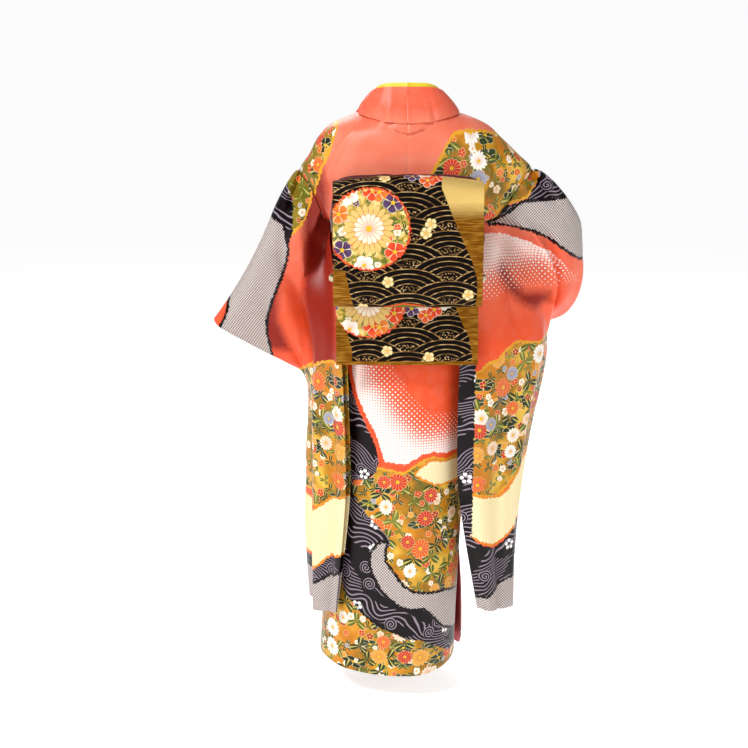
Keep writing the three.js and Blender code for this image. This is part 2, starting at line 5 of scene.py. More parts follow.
import bpy
import numpy as np
from bpy.props import FloatProperty, FloatVectorProperty, PointerProperty
from mathutils import Color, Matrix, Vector


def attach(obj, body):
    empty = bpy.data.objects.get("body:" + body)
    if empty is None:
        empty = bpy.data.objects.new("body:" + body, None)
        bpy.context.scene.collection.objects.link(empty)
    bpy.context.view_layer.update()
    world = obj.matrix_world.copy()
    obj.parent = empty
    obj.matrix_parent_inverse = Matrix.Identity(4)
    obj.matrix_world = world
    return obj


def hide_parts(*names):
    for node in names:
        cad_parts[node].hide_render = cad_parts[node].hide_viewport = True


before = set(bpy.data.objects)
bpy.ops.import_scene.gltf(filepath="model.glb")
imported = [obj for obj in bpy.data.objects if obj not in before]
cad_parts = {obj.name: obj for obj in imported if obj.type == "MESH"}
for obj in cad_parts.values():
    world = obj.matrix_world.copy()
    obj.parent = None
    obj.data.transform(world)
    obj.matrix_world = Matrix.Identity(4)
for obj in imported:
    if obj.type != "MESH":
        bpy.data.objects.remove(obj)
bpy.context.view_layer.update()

bl_info = {
    "name": "Furisode kimono",
    "version": (1, 0, 0),
    "blender": (4, 5, 0),
    "location": "View3D > Sidebar > Kimono",
    "description": "Makes the cloth, sash and trimmings of a worn furisode kimono",
    "category": "Object",
}

MM = 0.001

# ---- sizes of the garment, in millimetres, as its solids have them ----
SILK = 1.6
SLEEVE_SILK = 1.4
COLLAR_CLOTH = 2.0
UNDER_COLLAR_CLOTH = 1.2
BROCADE = 3.0
LINING = 1.2
LAYER_GAP = 1.1
LAID_GAP = 1.4
SHOULDER_CLEARANCE = 2.6
SEAM_GAP_DEG = 0.1
SLEEVE_SEAM_GAP = 2.0
SIDE_SEAM, OVERLAP_SEAM = 90.0, 152.0
ARMHOLE = {"top": -135.0, "bottom": -246.0, "spread": 21.0, "blend": 34.0}
UNDER_OVERLAP_DEG = 228.0
OVER_OVERLAP_DEG = {"waist": 232.0, "hem": 256.0}
OVER_LIFT = {"chest": 7.4, "skirt": 6.4, "flare": 14.0}
SUPERELLIPSE = 2.2
SASH = {"top": -272.0, "bottom": -442.0, "width": 315.0, "lift": 17.0, "cloth": 4.0}
TUCK = {"top": -450.0, "bottom": -524.0, "cloth": 3.0, "lift": 9.5, "spread": 5, "belly": 6}
# Where the tuck is fullest, as an angle from the centre back, how far round, and by how much.
TUCK_FULL = {"deg": 262, "reach": 34, "more": 9}


def table(columns, rows):
    """Columns by name, each a numpy array, from rows of numbers."""
    return {name: np.array([row[k] for row in rows], float) for k, name in enumerate(columns)}


# Rings of the body from hem to neck: heights at back, side and front, then reach to each side.
BODY = table(
    ("level", "side", "front", "left", "right", "back", "belly"),
    [
        (-1288, -1270, -1280, 200, 120, 138, 130),
        (-1130, -1125, -1128, 191, 124, 131, 128),
        (-900, -900, -900, 177, 134, 126, 126),
        (-750, -750, -750, 168, 141, 125, 125),
        (-600, -600, -600, 160, 149, 124, 124),
        (-450, -450, -450, 148, 147, 115, 117),
        (-300, -300, -300, 149, 149, 116, 118),
        (-256, -256, -256, 155, 156, 118, 120),
        (-246, -249, -247, 169, 173, 119, 120),
        (-232, -241, -236, 188, 200, 119, 119),
        (-205, -214, -210, 204, 231, 120, 116),
        (-170, -172, -178, 221, 258, 121, 112),
        (-135, -136, -145, 234, 276, 121, 105),
        (-105, -104, -112, 214, 246, 120, 98),
        (-80, -68, -84, 195, 208, 118, 92),
        (-58, -40, -60, 168, 177, 115, 87),
        (-40, -20, -40, 127, 134, 110, 80),
        (-28, -10, -25, 99, 105, 105, 72),
    ],
)

# Where the body panels end at the collar: the level reached at each angle from the centre back.
NECKLINE = table(
    ("deg", "level"),
    [
        (0, -28),
        (90, -28),
        (112, -31),
        (129, -41),
        (146, -60),
        (156, -84),
        (169, -134),
        (178, -190),
        (187, -252),
        (202, -322),
        (260, -430),
    ],
)

# Soft folds of the body: angle round, the levels it runs between, width and depth.
BODY_FOLDS = [
    (43, -300, -50, 2.2, 9),
    (-37, -300, -62, 2.8, 8),
    (48, -290, -60, 2.0, -8),
    (-43, -290, -90, 3, -7),
    (30, -280, -60, 6, 3),
    (-24, -260, -60, 7, 3),
    (58, -285, -110, 4, 5),
    (-60, -285, -110, 5, 6),
    (108, -1290, -560, 9, 5),
    (-112, -1290, -620, 9, 5),
    (128, -1290, -700, 7, -5),
    (44, -1290, -900, 10, 4),
    (222, -1290, -820, 8, 5),
]

# The pressed crease below the collar: two lines that fall towards the centre back.
TUCK_CREASE = {"tip": -55.0, "rise": 0.86, "reach": 34.0, "ridge": 3.8, "valley": 3.4}

# The collar from the centre back round to its end under the sash: the angle of its seam, how far the
# seam laps below the neckline, and its fold edge. A fold edge with no depth lies on the chest.
COLLAR = [
    (0, 5, (0, 90, 44)),
    (33, 5, (50, 78, 43)),
    (62, 6, (76, 48, 35)),
    (92, 3, (85, 6, 18)),
    (122, 3, (71, -38, -8)),
    (148, 5, (42, -78, -46)),
    (162, 8, (8, None, -98)),
    (174, 8, (-32, None, -154)),
    (184, 8, (-72, None, -214)),
    (199, 8, (-104, None, -284)),
]

# The sleeves, row by row down the drop from the arm: tail, middle and cuff edges, then each one's room.
LEFT_SLEEVE = [
    ((236, -2, -134), (318, -30, -350), (416, -62, -500), (40, 38, 29)),
    ((206, 2, -200), (282, -34, -418), (340, -72, -547), (46, 30, 20)),
    ((192, 8, -254), (240, -36, -486), (270, -82, -587), (8, 16, 12)),
    ((166, 98, -352), (212, -34, -566), (228, -98, -630), (7, 12, 4)),
    ((152, 116, -480), (207, -20, -664), (214, -122, -730), (8, 9, 2)),
    ((150, 118, -650), (206, -6, -810), (213, -150, -856), (8, 8, 2)),
    ((150, 118, -860), (212, -2, -980), (212, -160, -1002), (8, 8, 2)),
    ((168, 112, -1140), (212, 2, -1166), (206, -162, -1186), (3, 3, 2)),
]
RIGHT_SLEEVE = [
    ((-278, -2, -134), (-362, -60, -284), (-335, -235, -335), (40, 40, 28)),
    ((-234, 2, -200), (-372, -58, -350), (-342, -238, -412), (46, 30, 20)),
    ((-196, 8, -254), (-352, -28, -411), (-330, -234, -494), (8, 14, 12)),
    ((-168, 100, -352), (-308, -2, -436), (-302, -226, -562), (7, 9, 4)),
    ((-156, 116, -470), (-296, 24, -530), (-272, -216, -680), (8, 9, 2)),
    ((-152, 118, -640), (-262, 42, -700), (-236, -208, -830), (8, 8, 2)),
    ((-154, 116, -850), (-240, 50, -900), (-206, -204, -990), (8, 8, 2)),
    ((-184, 110, -1128), (-239, 56, -1140), (-172, -200, -1150), (3, 3, 2)),
]
# The rows of the sleeve along the armhole, the share of its width that is drawn to it there, and the
# part of a row below in which that fades.
ARMHOLE_ROWS = 2.0
ARMHOLE_SHARE = 0.3
ARMHOLE_FADE = 0.45

# Folds of the sleeves: across and down at each end of the fold's line, then width and depth.
LEFT_SLEEVE_FOLDS = [
    ((0.13, 0.1), (0.7, 4.4), 0.05, -20),
    ((0.14, 0.31), (0.3, 3.9), 0.075, 22),
    ((0.34, 0.45), (0.2, 4.2), 0.06, -17),
    ((0.5, 0.62), (0.6, 3.6), 0.08, 8),
    ((0.66, 0.8), (0.4, 3.4), 0.07, -6),
    ((0.16, 0.14), (3.4, 7), 0.05, -10),
    ((0.36, 0.3), (3, 7), 0.08, 15),
    ((0.5, 0.46), (3.4, 7), 0.045, -9),
    ((0.62, 0.6), (3.2, 7), 0.1, -14),
    ((0.82, 0.8), (3.4, 7), 0.08, 12),
]
RIGHT_SLEEVE_FOLDS = [
    ((0.02, 0.66), (0.9, 3.6), 0.05, 30),
    ((0.14, 0.78), (0.9, 3.4), 0.04, -34),
    ((0.5, 0.9), (0.8, 2.7), 0.07, 12),
    ((0.04, 0.12), (1.2, 3.2), 0.04, -10),
    ((0.06, 0.3), (2.2, 4.2), 0.05, -12),
    ((0.3, 0.26), (3.6, 7), 0.06, -12),
    ((0.12, 0.1), (3.4, 7), 0.06, 9),
    ((0.5, 0.44), (3.2, 7), 0.05, 11),
    ((0.66, 0.6), (3, 7), 0.09, 14),
    ((0.84, 0.8), (3.2, 7), 0.08, -13),
]
# How far the edge next to the body is drawn in towards it, by row of the sleeve.
SLEEVE_SNUG = {"left": [0, 0, 16, 13, 12, 17, 19, 10], "right": [0, 0, 11, 14, 32, 37, 34, 18]}

# The hem lining: the share of the overlap's width where it starts and ends, and how high it reaches.
HEM_LINING = {"from": 4 / 6, "to": 1.04, "top": -900.0}
# How much of the collar's width each collar covers, and the row of the table where it ends.
COLLAR_REACH = {"outer": (0, 1), "under": (0.4, 1.13)}
COLLAR_END = {"outer": 9, "under": 8.5}

# Side views of the bow, as how far back and how high: the drum, then the tail that hangs from it.
DRUM = table(
    ("back", "high"),
    [
        (136, -226),
        (137, -168),
        (150, -142),
        (172, -134),
        (194, -143),
        (206, -172),
        (213, -232),
        (217, -300),
        (215, -358),
        (206, -396),
        (190, -411),
        (175, -402),
        (170, -372),
        (169, -312),
    ],
)
TAIL = table(("back", "high"), [(158, -300), (159, -380), (160, -450), (161, -504), (160, -544)])

# Round a scarf or cord, the length of its weave.
SOFT_GIRTH = 60.0
# Routes of the scarf and the cord round the wearer's left half, from the back to the front.
SCARF_ROUTE = [
    (0, 129, -148),
    (80, 128, -149),
    (140, 125, -156),
    (153, 118, -182),
    (160, 106, -225),
    (161, 80, -255),
    (162, 46, -262.5),
    (163, 0, -262.5),
    (150, -76, -262.5),
    (88, -124, -262.5),
    (0, -143, -262.5),
]
CORD_ROUTE = [
    (0, 187, -352),
    (90, 187, -352),
    (148, 186, -352),
    (164, 174, -352),
    (163, 150, -352),
    (152, 118, -352),
    (146, 92, -352),
    (159, 58, -353),
    (170.5, 0, -354),
    (155, -82, -356),
    (90, -128, -357),
    (0, -142, -358),
]


# ---- curves ----
def lerp(a, b, t):
    return a + (b - a) * t


def smooth(t):
    """A soft step from 0 to 1."""
    t = np.clip(t, 0, 1)
    return t * t * (3 - 2 * t)


def bump(x, width):
    """A soft bump of height 1 round 0."""
    return np.exp(-((x / width) ** 2))


def through(values, place):
    """A smooth value through a list of numbers or points, at places counted in list steps."""
    values = np.asarray(values, float)
    place = np.asarray(place, float)
    i = np.clip(np.floor(place).astype(int), 0, len(values) - 2)
    t = (place - i).reshape(place.shape + (1,) * (values.ndim - 1))
    b, c = values[i], values[i + 1]
    first = (i == 0).reshape(t.shape)
    final = (i == len(values) - 2).reshape(t.shape)
    a = np.where(first, 2 * b - c, values[np.maximum(i - 1, 0)])
    d = np.where(final, 2 * c - b, values[np.minimum(i + 2, len(values) - 1)])
    return b + 0.5 * t * (c - a + t * (2 * a - 5 * b + 4 * c - d + t * (3 * (b - c) + d - a)))


def place_of(column, value):
    """Where a value lies in a rising column, counted in rows."""
    return np.interp(value, column, np.arange(len(column)))


def unit(vectors):
    return vectors / np.maximum(np.linalg.norm(vectors, axis=-1, keepdims=True), 1e-9)


def normal_of(surface, u, v, du, dv):
    """The unit normal of a surface, from steps to both sides."""
    across = surface(u + du, v) - surface(u - du, v)
    along = surface(u, v + dv) - surface(u, v - dv)
    return unit(np.cross(across, along))


def refine(values, counts):
    """A list of values with each interval split evenly into its count of parts."""
    parts = [np.linspace(a, b, n, endpoint=False) for a, b, n in zip(values, values[1:], counts)]
    return np.concatenate(parts + [[values[-1]]])


# ---- the form of the body ----
def body_ring(deg, level):
    """Reach across and in depth, and the height, of the body form without its folds."""
    place = place_of(BODY["level"], level)
    angle = np.radians(deg)
    s, c = np.sin(angle), np.cos(angle)
    power = 2 / SUPERELLIPSE
    side = np.where(s > 0, through(BODY["left"], place), through(BODY["right"], place))
    depth = np.where(c > 0, through(BODY["back"], place), through(BODY["belly"], place))
    middle = np.where(c > 0, through(BODY["level"], place), through(BODY["front"], place))
    high = lerp(through(BODY["side"], place), middle, c * c)
    return np.sign(s) * np.abs(s) ** power, np.sign(c) * np.abs(c) ** power, side, depth, high


def body_form(deg, level):
    """Points of the body form with its folds, by angle from the centre back and level."""
    deg, level = np.broadcast_arrays(np.asarray(deg, float), np.asarray(level, float))
    s, c, side, depth, high = body_ring(deg, level)
    across, back = s * side, c * depth
    fold = np.zeros_like(across)
    for turn_to, low, top, width, deep in BODY_FOLDS:
        turn = (deg - turn_to + 540) % 360 - 180
        along = np.clip((level - low) / (top - low), 0, 1)
        ends = np.sin(np.pi * lerp(0.5 if low < -1200 else 0.0, 1, along))
        fold = fold + deep * bump(turn, width) * np.where((level < low) | (level > top), 0, ends)
    off_centre = np.abs((deg + 180) % 360 - 180)
    fold = fold - 1.1 * bump(off_centre, 0.6)
    crease = level - TUCK_CREASE["tip"] - TUCK_CREASE["rise"] * off_centre
    pressed = TUCK_CREASE["ridge"] * bump(crease - 4, 4) - TUCK_CREASE["valley"] * bump(crease + 1, 2.6)
    fold = fold + pressed * smooth((TUCK_CREASE["reach"] - off_centre) / 8)
    grow = 1 + fold / np.hypot(across, back)
    return np.stack([across * grow, back * grow, high], axis=-1)


def plain_body(deg, level, lift):
    """The body form without folds, grown evenly by a lift."""
    deg, level, lift = np.broadcast_arrays(deg, level, lift)
    s, c, side, depth, _ = body_ring(deg.astype(float), level.astype(float))
    return np.stack([s * (side + lift), c * (depth + lift), level.astype(float)], axis=-1)


def on_body(deg, level, lift):
    """Points lifted off the body form along its normal."""
    point = body_form(deg, level)
    outward = normal_of(body_form, deg, level, 1, 4)
    inwards = (outward[..., 0] * point[..., 0] + outward[..., 1] * point[..., 1]) < 0
    outward = np.where(inwards[..., None], -outward, outward)
    return point + outward * np.asarray(lift, float)[..., None]


def armhole_edge(level, sign):
    """The angle of the armhole's back or front edge, which meet at its two ends."""
    rise = smooth((level - ARMHOLE["bottom"]) / ARMHOLE["blend"])
    rise = rise * smooth((ARMHOLE["top"] - level) / ARMHOLE["blend"])
    return SIDE_SEAM + sign * (0.25 + ARMHOLE["spread"] * rise)


def over_lift(deg, level):
    """How far the over-front stands off the under-front where they cross."""
    full = lerp(OVER_LIFT["skirt"], OVER_LIFT["chest"], smooth((level + 600) / 200))
    flare = OVER_LIFT["flare"] * smooth((-860 - level) / 400) * smooth((deg - 218) / 38)
    return full * smooth((deg - 98) / 27) + flare


def neckline_at(deg):
    """The level where the body panels end at an angle."""
    return through(NECKLINE["level"], place_of(NECKLINE["deg"], deg))


def row_level(row, deg):
    """A row keeps its level below the armhole's top and above it rises to the neckline."""
    share = (row - ARMHOLE["top"]) / (BODY["level"][-1] - ARMHOLE["top"])
    return np.where(row <= ARMHOLE["top"], row, lerp(ARMHOLE["top"], neckline_at(deg), share))


def on_chest(across, high, lift):
    """The points of the chest at given distances from the middle and heights."""
    across, high, lift = np.broadcast_arrays(across, high, lift)
    deg = np.full(across.shape, 180.0)
    level = high.astype(float)
    for _ in range(16):
        point = on_body(deg, level, lift)
        level = level + 0.8 * (high - point[..., 2])
        deg = deg - 0.8 * (across - point[..., 0]) / 3.2
    return on_body(deg, level, lift)


# ---- zones of the design and of painted shade ----
# Centres of the sash's round motif, on the drum and on the tail.
ROUND_CENTRES = [(82, -237), (84, -106)]


def oval(x, y, wide, high):
    """An outline of 32 points round a centre."""
    return [(x + wide * math.cos(t / 5), y + high * math.sin(t / 5)) for t in range(32)]


# Outlines of each ground, in millimetres: on the body as distance round from the centre back and
# level, on the sleeves as distance out from the middle and height, on the bow as distance along and
# down its cloth. Deep marks the valleys between folds and between the body and a sleeve, where painted shade
# darkens the coral to deep red.
ZONES = {
    "body": {
        "deep": [[(196, -120), (420, -150), (420, -460), (186, -420), (190, -230)]],
        "gold": [
            [(82, -790), (61, -791), (32, -796), (5, -803), (-10, -792), (-26, -779), (-45, -767),
             (-66, -765), (-95, -774), (-129, -768), (-188, -766), (-250, -750), (-330, -742),
             (-330, -1300), (330, -1300), (330, -1000), (100, -800)],
            [(-101, -55), (-81, -76), (-68, -104), (-52, -130), (-46, -149), (-42, -260), (-330, -260),
             (-330, -80), (-206, -66), (-167, -59), (-127, -54)],
            [(177, -51), (163, -63), (171, -84), (185, -108), (199, -128), (211, -156), (240, -190),
             (262, -250), (340, -250), (340, -40)],
        ],
        "stream": [
            [(143, -567), (125, -629), (94, -689), (68, -740), (61, -778), (68, -806), (86, -823),
             (121, -831), (127, -846), (124, -864), (116, -876), (92, -899), (60, -934), (39, -960),
             (35, -974), (49, -997), (44, -1017), (23, -1050), (-3, -1077), (-30, -1083), (-70, -1084),
             (-101, -1087), (-201, -1112), (-260, -1100), (-330, -1085), (-330, -1250), (-250, -1262),
             (-126, -1258), (-66, -1216), (-36, -1197), (-4, -1193), (22, -1181), (60, -1167),
             (95, -1145), (123, -1120), (148, -1090), (155, -1059), (200, -1012), (330, -960),
             (330, -420), (154, -488)],
        ],
        "grey": [
            [(45, -966), (49, -987), (48, -1013), (28, -1040), (4, -1071), (-19, -1084), (-58, -1090),
             (-102, -1093), (-203, -1121), (-260, -1108), (-330, -1095), (-330, -1185), (-260, -1200),
             (-205, -1210), (-148, -1201), (-97, -1174), (-71, -1147), (-44, -1122), (-12, -1123),
             (12, -1114), (33, -1097), (57, -1071), (70, -1045), (80, -1020), (78, -997), (65, -978)],
        ],
        "cream": [
            [(-22, -807), (-36, -793), (-58, -777), (-88, -783), (-114, -780), (-153, -775),
             (-189, -775), (-250, -760), (-330, -750), (-330, -862), (-250, -858), (-203, -851),
             (-133, -832), (-89, -836), (-67, -835), (-46, -824), (-30, -814)],
        ],
        "kanoko": [
            [(130, -484), (129, -574), (114, -624), (105, -646), (86, -681), (65, -718), (52, -763),
             (48, -776), (13, -781), (-1, -783), (-16, -772), (-35, -760), (-61, -754), (-92, -761),
             (-122, -758), (-186, -757), (-250, -742), (-330, -732), (-330, -420), (130, -420)],
        ],
        "dots": [
            [(29, -400), (29, -565), (6, -593), (-21, -634), (-50, -663), (-99, -665), (-171, -668),
             (-250, -650), (-330, -640), (-330, -1000), (330, -1000), (330, -400)],
        ],
    },
    "sleeve_left": {
        "deep": [
            [(240, -150), (226, -300), (236, -420), (222, -520), (212, -580), (150, -580), (150, -150)],
            [(300, -250), (284, -400), (286, -480), (262, -560), (330, -560), (330, -250)],
        ],
        "gold": [
            [(251, -279), (230, -258), (220, -239), (207, -202), (203, -172), (200, -150), (200, -90),
             (420, -90), (420, -300), (270, -294)],
            [(300, -640), (245, -607), (201, -567), (169, -552), (134, -550), (60, -550), (60, -900),
             (330, -900), (330, -660)],
        ],
        "stream": [
            [(262, -170), (300, -190), (330, -250), (277, -262), (270, -294), (263, -312),
             (253, -276), (250, -234), (251, -205)],
            [(320, -1056), (221, -1065), (172, -1015), (142, -1000), (60, -985), (60, -1035),
             (142, -1040), (221, -1097), (320, -1080)],
        ],
        "grey": [
            [(330, -225), (275, -258), (265, -312), (271, -342), (283, -380), (297, -412), (311, -451),
             (319, -479), (321, -514), (314, -553), (309, -593), (328, -640), (423, -560), (425, -509),
             (410, -479), (404, -461), (400, -436), (401, -416), (415, -380), (420, -300), (380, -225)],
            [(320, -1076), (221, -1098), (142, -1041), (60, -1036), (60, -1250), (320, -1250)],
        ],
        "cream": [
            [(320, -905), (219, -920), (171, -878), (142, -863), (60, -840), (60, -960), (142, -995),
             (171, -1008), (220, -1055), (320, -1055)],
        ],
    },
    "sleeve_right": {
        "deep": [
            [(-203, -318), (-232, -368), (-262, -398), (-322, -406), (-322, -434), (-288, -444),
             (-250, -424), (-220, -396), (-194, -345)],
        ],
        "gold": [
            [(-100, -60), (-300, -60), (-310, -140), (-286, -166), (-264, -197), (-225, -209),
             (-191, -221), (-145, -220), (-100, -238)],
            [(-400, -505), (-322, -508), (-300, -515), (-242, -505), (-218, -521), (-200, -541),
             (-178, -546), (-160, -564), (-100, -584), (-100, -850), (-152, -850), (-205, -866),
             (-256, -816), (-300, -757), (-400, -740)],
        ],
        "stream": [
            [(-298, -120), (-420, -120), (-420, -190), (-352, -197), (-325, -204), (-267, -202),
             (-262, -197), (-286, -166)],
            # painted shade: a strip of the stream's black along the edge next to the body, where the shadow
            # between sleeve and body falls
            [(-100, -456), (-152, -456), (-151, -640), (-149, -840), (-150, -950), (-100, -950)],
            [(-100, -222), (-145, -220), (-189, -221), (-224, -211), (-254, -204), (-241, -217),
             (-205, -245), (-183, -255), (-100, -259)],
            [(-100, -950), (-148, -956), (-205, -985), (-231, -965), (-255, -943), (-293, -915),
             (-400, -890), (-400, -1060), (-308, -1075), (-252, -1060), (-221, -1068), (-193, -1095),
             (-178, -1100), (-100, -1100)],
        ],
        "grey": [
            [(-259, -205), (-325, -205), (-351, -200), (-400, -190), (-440, -230), (-440, -340),
             (-394, -338), (-367, -320), (-321, -286), (-279, -264), (-247, -258), (-205, -253),
             (-183, -255), (-205, -245), (-241, -217)],
            [(-100, -1104), (-163, -1104), (-191, -1100), (-220, -1072), (-252, -1064), (-308, -1080),
             (-400, -1080), (-400, -1250), (-100, -1250)],
        ],
        "cream": [
            [(-100, -850), (-152, -852), (-208, -868), (-233, -853), (-256, -816), (-300, -757),
             (-400, -740), (-400, -880), (-304, -900), (-255, -938), (-229, -958), (-203, -975),
             (-152, -950), (-100, -945)],
        ],
        "kanoko": [
            [(-100, -268), (-139, -271), (-180, -276), (-221, -280), (-273, -294), (-316, -314),
             (-355, -348), (-379, -374), (-440, -430), (-440, -500), (-100, -500)],
        ],
        "dots": [
            [(-100, -200), (-100, -421), (-179, -409), (-226, -393), (-264, -388), (-305, -392),
             (-384, -397), (-440, -400), (-440, -180)],
        ],
    },
    "drum": {
        "stripe": [
            [(-71, -114), (-69, -151), (-90, -205), (-114, -262), (-134, -306), (-145, -343), (-146, -370),
             (-141, -460), (-200, -460), (-200, -112)],
            [(200, -325), (166, -324), (132, -326), (114, -412), (114, -460), (200, -460)],
        ],
        "round": [oval(*ROUND_CENTRES[0], 88, 88)],
        "lens": [[(67, -429), (46, -408), (10, -397), (-26, -403), (-61, -430), (-65, -560), (67, -560)]],
    },
    "tail": {
        "stripe": [
            [(200, -60), (168, -60), (160, -127), (145, -149), (128, -177), (119, -211), (119, -300),
             (200, -300)],
            [(-95, -60), (-102, -112), (-120, -156), (-134, -182), (-141, -222), (-137, -300),
             (-200, -300), (-200, -60)],
            [(200, -236), (-200, -236), (-200, -300), (200, -300)],
        ],
        "round": [oval(*ROUND_CENTRES[1], 82, 78)],
    },
}
SILK_ZONES = ("gold", "cream", "stream", "grey", "kanoko", "dots", "deep")
SASH_ZONES = ("stripe", "round", "lens")


def inside_by(outline, across, level):
    """How far inside an outline each place lies, in millimetres; outside it is negative."""
    corners = np.array(outline, float)
    nexts = np.roll(corners, -1, axis=0)
    x, y = across.ravel()[:, None], level.ravel()[:, None]
    edge = nexts - corners
    along = (x - corners[:, 0]) * edge[:, 0] + (y - corners[:, 1]) * edge[:, 1]
    t = np.clip(along / np.maximum(np.sum(edge**2, axis=1), 1e-9), 0, 1)
    away = np.hypot(x - corners[:, 0] - t * edge[:, 0], y - corners[:, 1] - t * edge[:, 1]).min(axis=1)
    crosses = (corners[:, 1] > y) != (nexts[:, 1] > y)
    slope = (y - corners[:, 1]) / np.where(edge[:, 1] == 0, 1e-9, edge[:, 1])
    left = x < corners[:, 0] + slope * edge[:, 0]
    odd = np.sum(crosses & left, axis=1) % 2 == 1
    return np.where(odd, away, -away).reshape(across.shape)


def design_zones(kind, across, level):
    """The signed distance into each ground of a piece's design and into its zones of painted shade, kept to
    what its materials read.
    """
    across, level = np.broadcast_arrays(across, level)
    zones = {}
    for zone in SASH_ZONES if kind in ("drum", "tail", "wrap") else SILK_ZONES:
        parts = [inside_by(outline, across, level) for outline in ZONES.get(kind, {}).get(zone, [])]
        zones[zone] = np.clip(np.max(parts, axis=0) if parts else np.full(across.shape, -60.0), -60, 200)
    return zones


# ---- meshes ----
def settings():
    return bpy.context.scene.kimono_settings


def grid_object(name, points, uv, outward, thickness, closed=False, hole=None, attributes=None):
    """A sheet of cloth from a grid of points in millimetres, with its wall turned inwards."""
    rows, cols = points.shape[:2]
    i, j = np.meshgrid(np.arange(rows - 1), np.arange(cols if closed else cols - 1), indexing="ij")
    if hole is not None:
        i, j = i[~hole], j[~hole]
    i, j = i.ravel(), j.ravel()
    k = (j + 1) % cols
    quads = np.stack([i * cols + j, i * cols + k, (i + 1) * cols + k, (i + 1) * cols + j], axis=1)
    corners = np.stack([uv[i, j], uv[i, j + 1], uv[i + 1, j + 1], uv[i + 1, j]], axis=1)
    flat = points.reshape(-1, 3)
    normals = np.cross(flat[quads[:, 2]] - flat[quads[:, 0]], flat[quads[:, 3]] - flat[quads[:, 1]])
    if np.sum(normals * outward.reshape(-1, 3)[quads[:, 0]]) < 0:
        quads, corners = quads[:, ::-1], corners[:, ::-1]
    mesh = bpy.data.meshes.new(name)
    mesh.from_pydata((flat * MM).tolist(), [], quads.tolist())
    layer = mesh.uv_layers.new(name="cloth")
    layer.data.foreach_set("uv", np.ascontiguousarray(corners * MM).ravel())
    for key, values in (attributes or {}).items():
        mesh.attributes.new(key, "FLOAT", "POINT").data.foreach_set("value", values.ravel())
    obj = bpy.data.objects.new(name, mesh)
    bpy.context.scene.collection.objects.link(obj)
    wall = obj.modifiers.new("wall", "SOLIDIFY")
    wall.thickness = thickness * MM
    wall.offset = -1
    apply_modifiers(obj)
    return obj


def select_only(obj):
    bpy.ops.object.select_all(action="DESELECT")
    obj.select_set(True)
    bpy.context.view_layer.objects.active = obj


def apply_modifiers(obj):
    """Apply the modifiers and shade the piece smooth up to sharp edges."""
    select_only(obj)
    for modifier in list(obj.modifiers):
        bpy.ops.object.modifier_apply(modifier=modifier.name)
    bpy.ops.object.shade_smooth_by_angle(angle=math.radians(50))


def lengths_along(points, axis):
    """Distances run along one axis of a grid of points, from its start."""
    steps = np.linalg.norm(np.diff(points, axis=axis), axis=-1)
    start = np.zeros_like(np.take(steps, [0], axis=axis))
    return np.concatenate([start, np.cumsum(steps, axis=axis)], axis=axis)


# ---- body panels ----
ARMHOLE_LEVELS = [-246, -240, -228, -212, -192, -168, -150, -135]
PANEL_LEVELS = [-1288, -1190, -1060, -900, -750, -600, -500, -440, -360, -290, -256]
PANEL_LEVELS += ARMHOLE_LEVELS + [-118, -100, -84, -68, -54, -40, -28]
BACK_DEGS = [0, 10, 20, 29, 35, 39, 43, 48, 54, 60]
ROW_PARTS = [12, 16, 20, 18, 18, 12, 7, 7, 7, 4, 2, 1, 2, 2, 3, 3, 2, 2, 2, 2, 3, 5, 6, 5]
FINE_ROWS = refine(PANEL_LEVELS, ROW_PARTS)


def panel_degs(level):
    """The angles of a body panel's columns at a level, and the number of the column at the slit."""
    back, front = armhole_edge(level, -1), armhole_edge(level, 1)
    inner = np.concatenate([[0, 0.35, 0.8], refine([1.6] + BACK_DEGS[1:], [4, 4, 4, 3, 3, 3, 3, 3, 3])])
    to_side = np.linspace(BACK_DEGS[-1], back, 9)[1:]
    forward = np.linspace(front, OVERLAP_SEAM - SEAM_GAP_DEG, 33)
    return np.concatenate([inner, to_side, forward]), len(inner) + len(to_side) - 1


def girth(deg, level):
    """The distance round the body from the centre back, in millimetres."""
    shares = np.linspace(0, 1, 49).reshape((-1,) + (1,) * np.ndim(deg))
    levels = np.broadcast_to(level, shares.shape[:1] + np.shape(deg))
    return lengths_along(body_form(shares * deg, levels), 0)[-1]


def front_as_back(deg, level):
    """Where the design has a place of the front: as far from the side seam as on the back, and lower."""
    turned = np.where(deg > SIDE_SEAM, 180 - deg, np.where(deg < -SIDE_SEAM, -180 - deg, deg))
    across = np.sign(turned) * girth(np.abs(turned) * np.sign(turned), level)
    shift = 46 * smooth((np.abs(deg) - 95) / 60) * smooth((-300 - level) / 200)
    return across, level + shift


def body_panel(side):
    """A body panel from the centre-back seam round to the overlap seam, with its armhole left open."""
    degs = np.array([panel_degs(row)[0] for row in FINE_ROWS])
    slit = panel_degs(-200)[1]
    levels = row_level(FINE_ROWS[:, None], degs)
    lift = over_lift(degs, levels) if side > 0 else np.zeros_like(degs)
    points = on_body(side * degs, levels, lift)
    hole = np.zeros((len(FINE_ROWS) - 1, degs.shape[1] - 1), bool)
    hole[:, slit] = (FINE_ROWS[:-1] >= ARMHOLE["bottom"]) & (FINE_ROWS[:-1] < ARMHOLE["top"])
    along = side * lengths_along(points, 1)
    uv = np.stack([along, levels], axis=-1)
    outward = points * [1, 1, 0]
    name = "left" if side > 0 else "right"
    zones = design_zones("body", *front_as_back(side * degs, levels))
    return grid_object(f"kimono_body_{name}", points, uv, outward, SILK, hole=hole, attributes=zones)


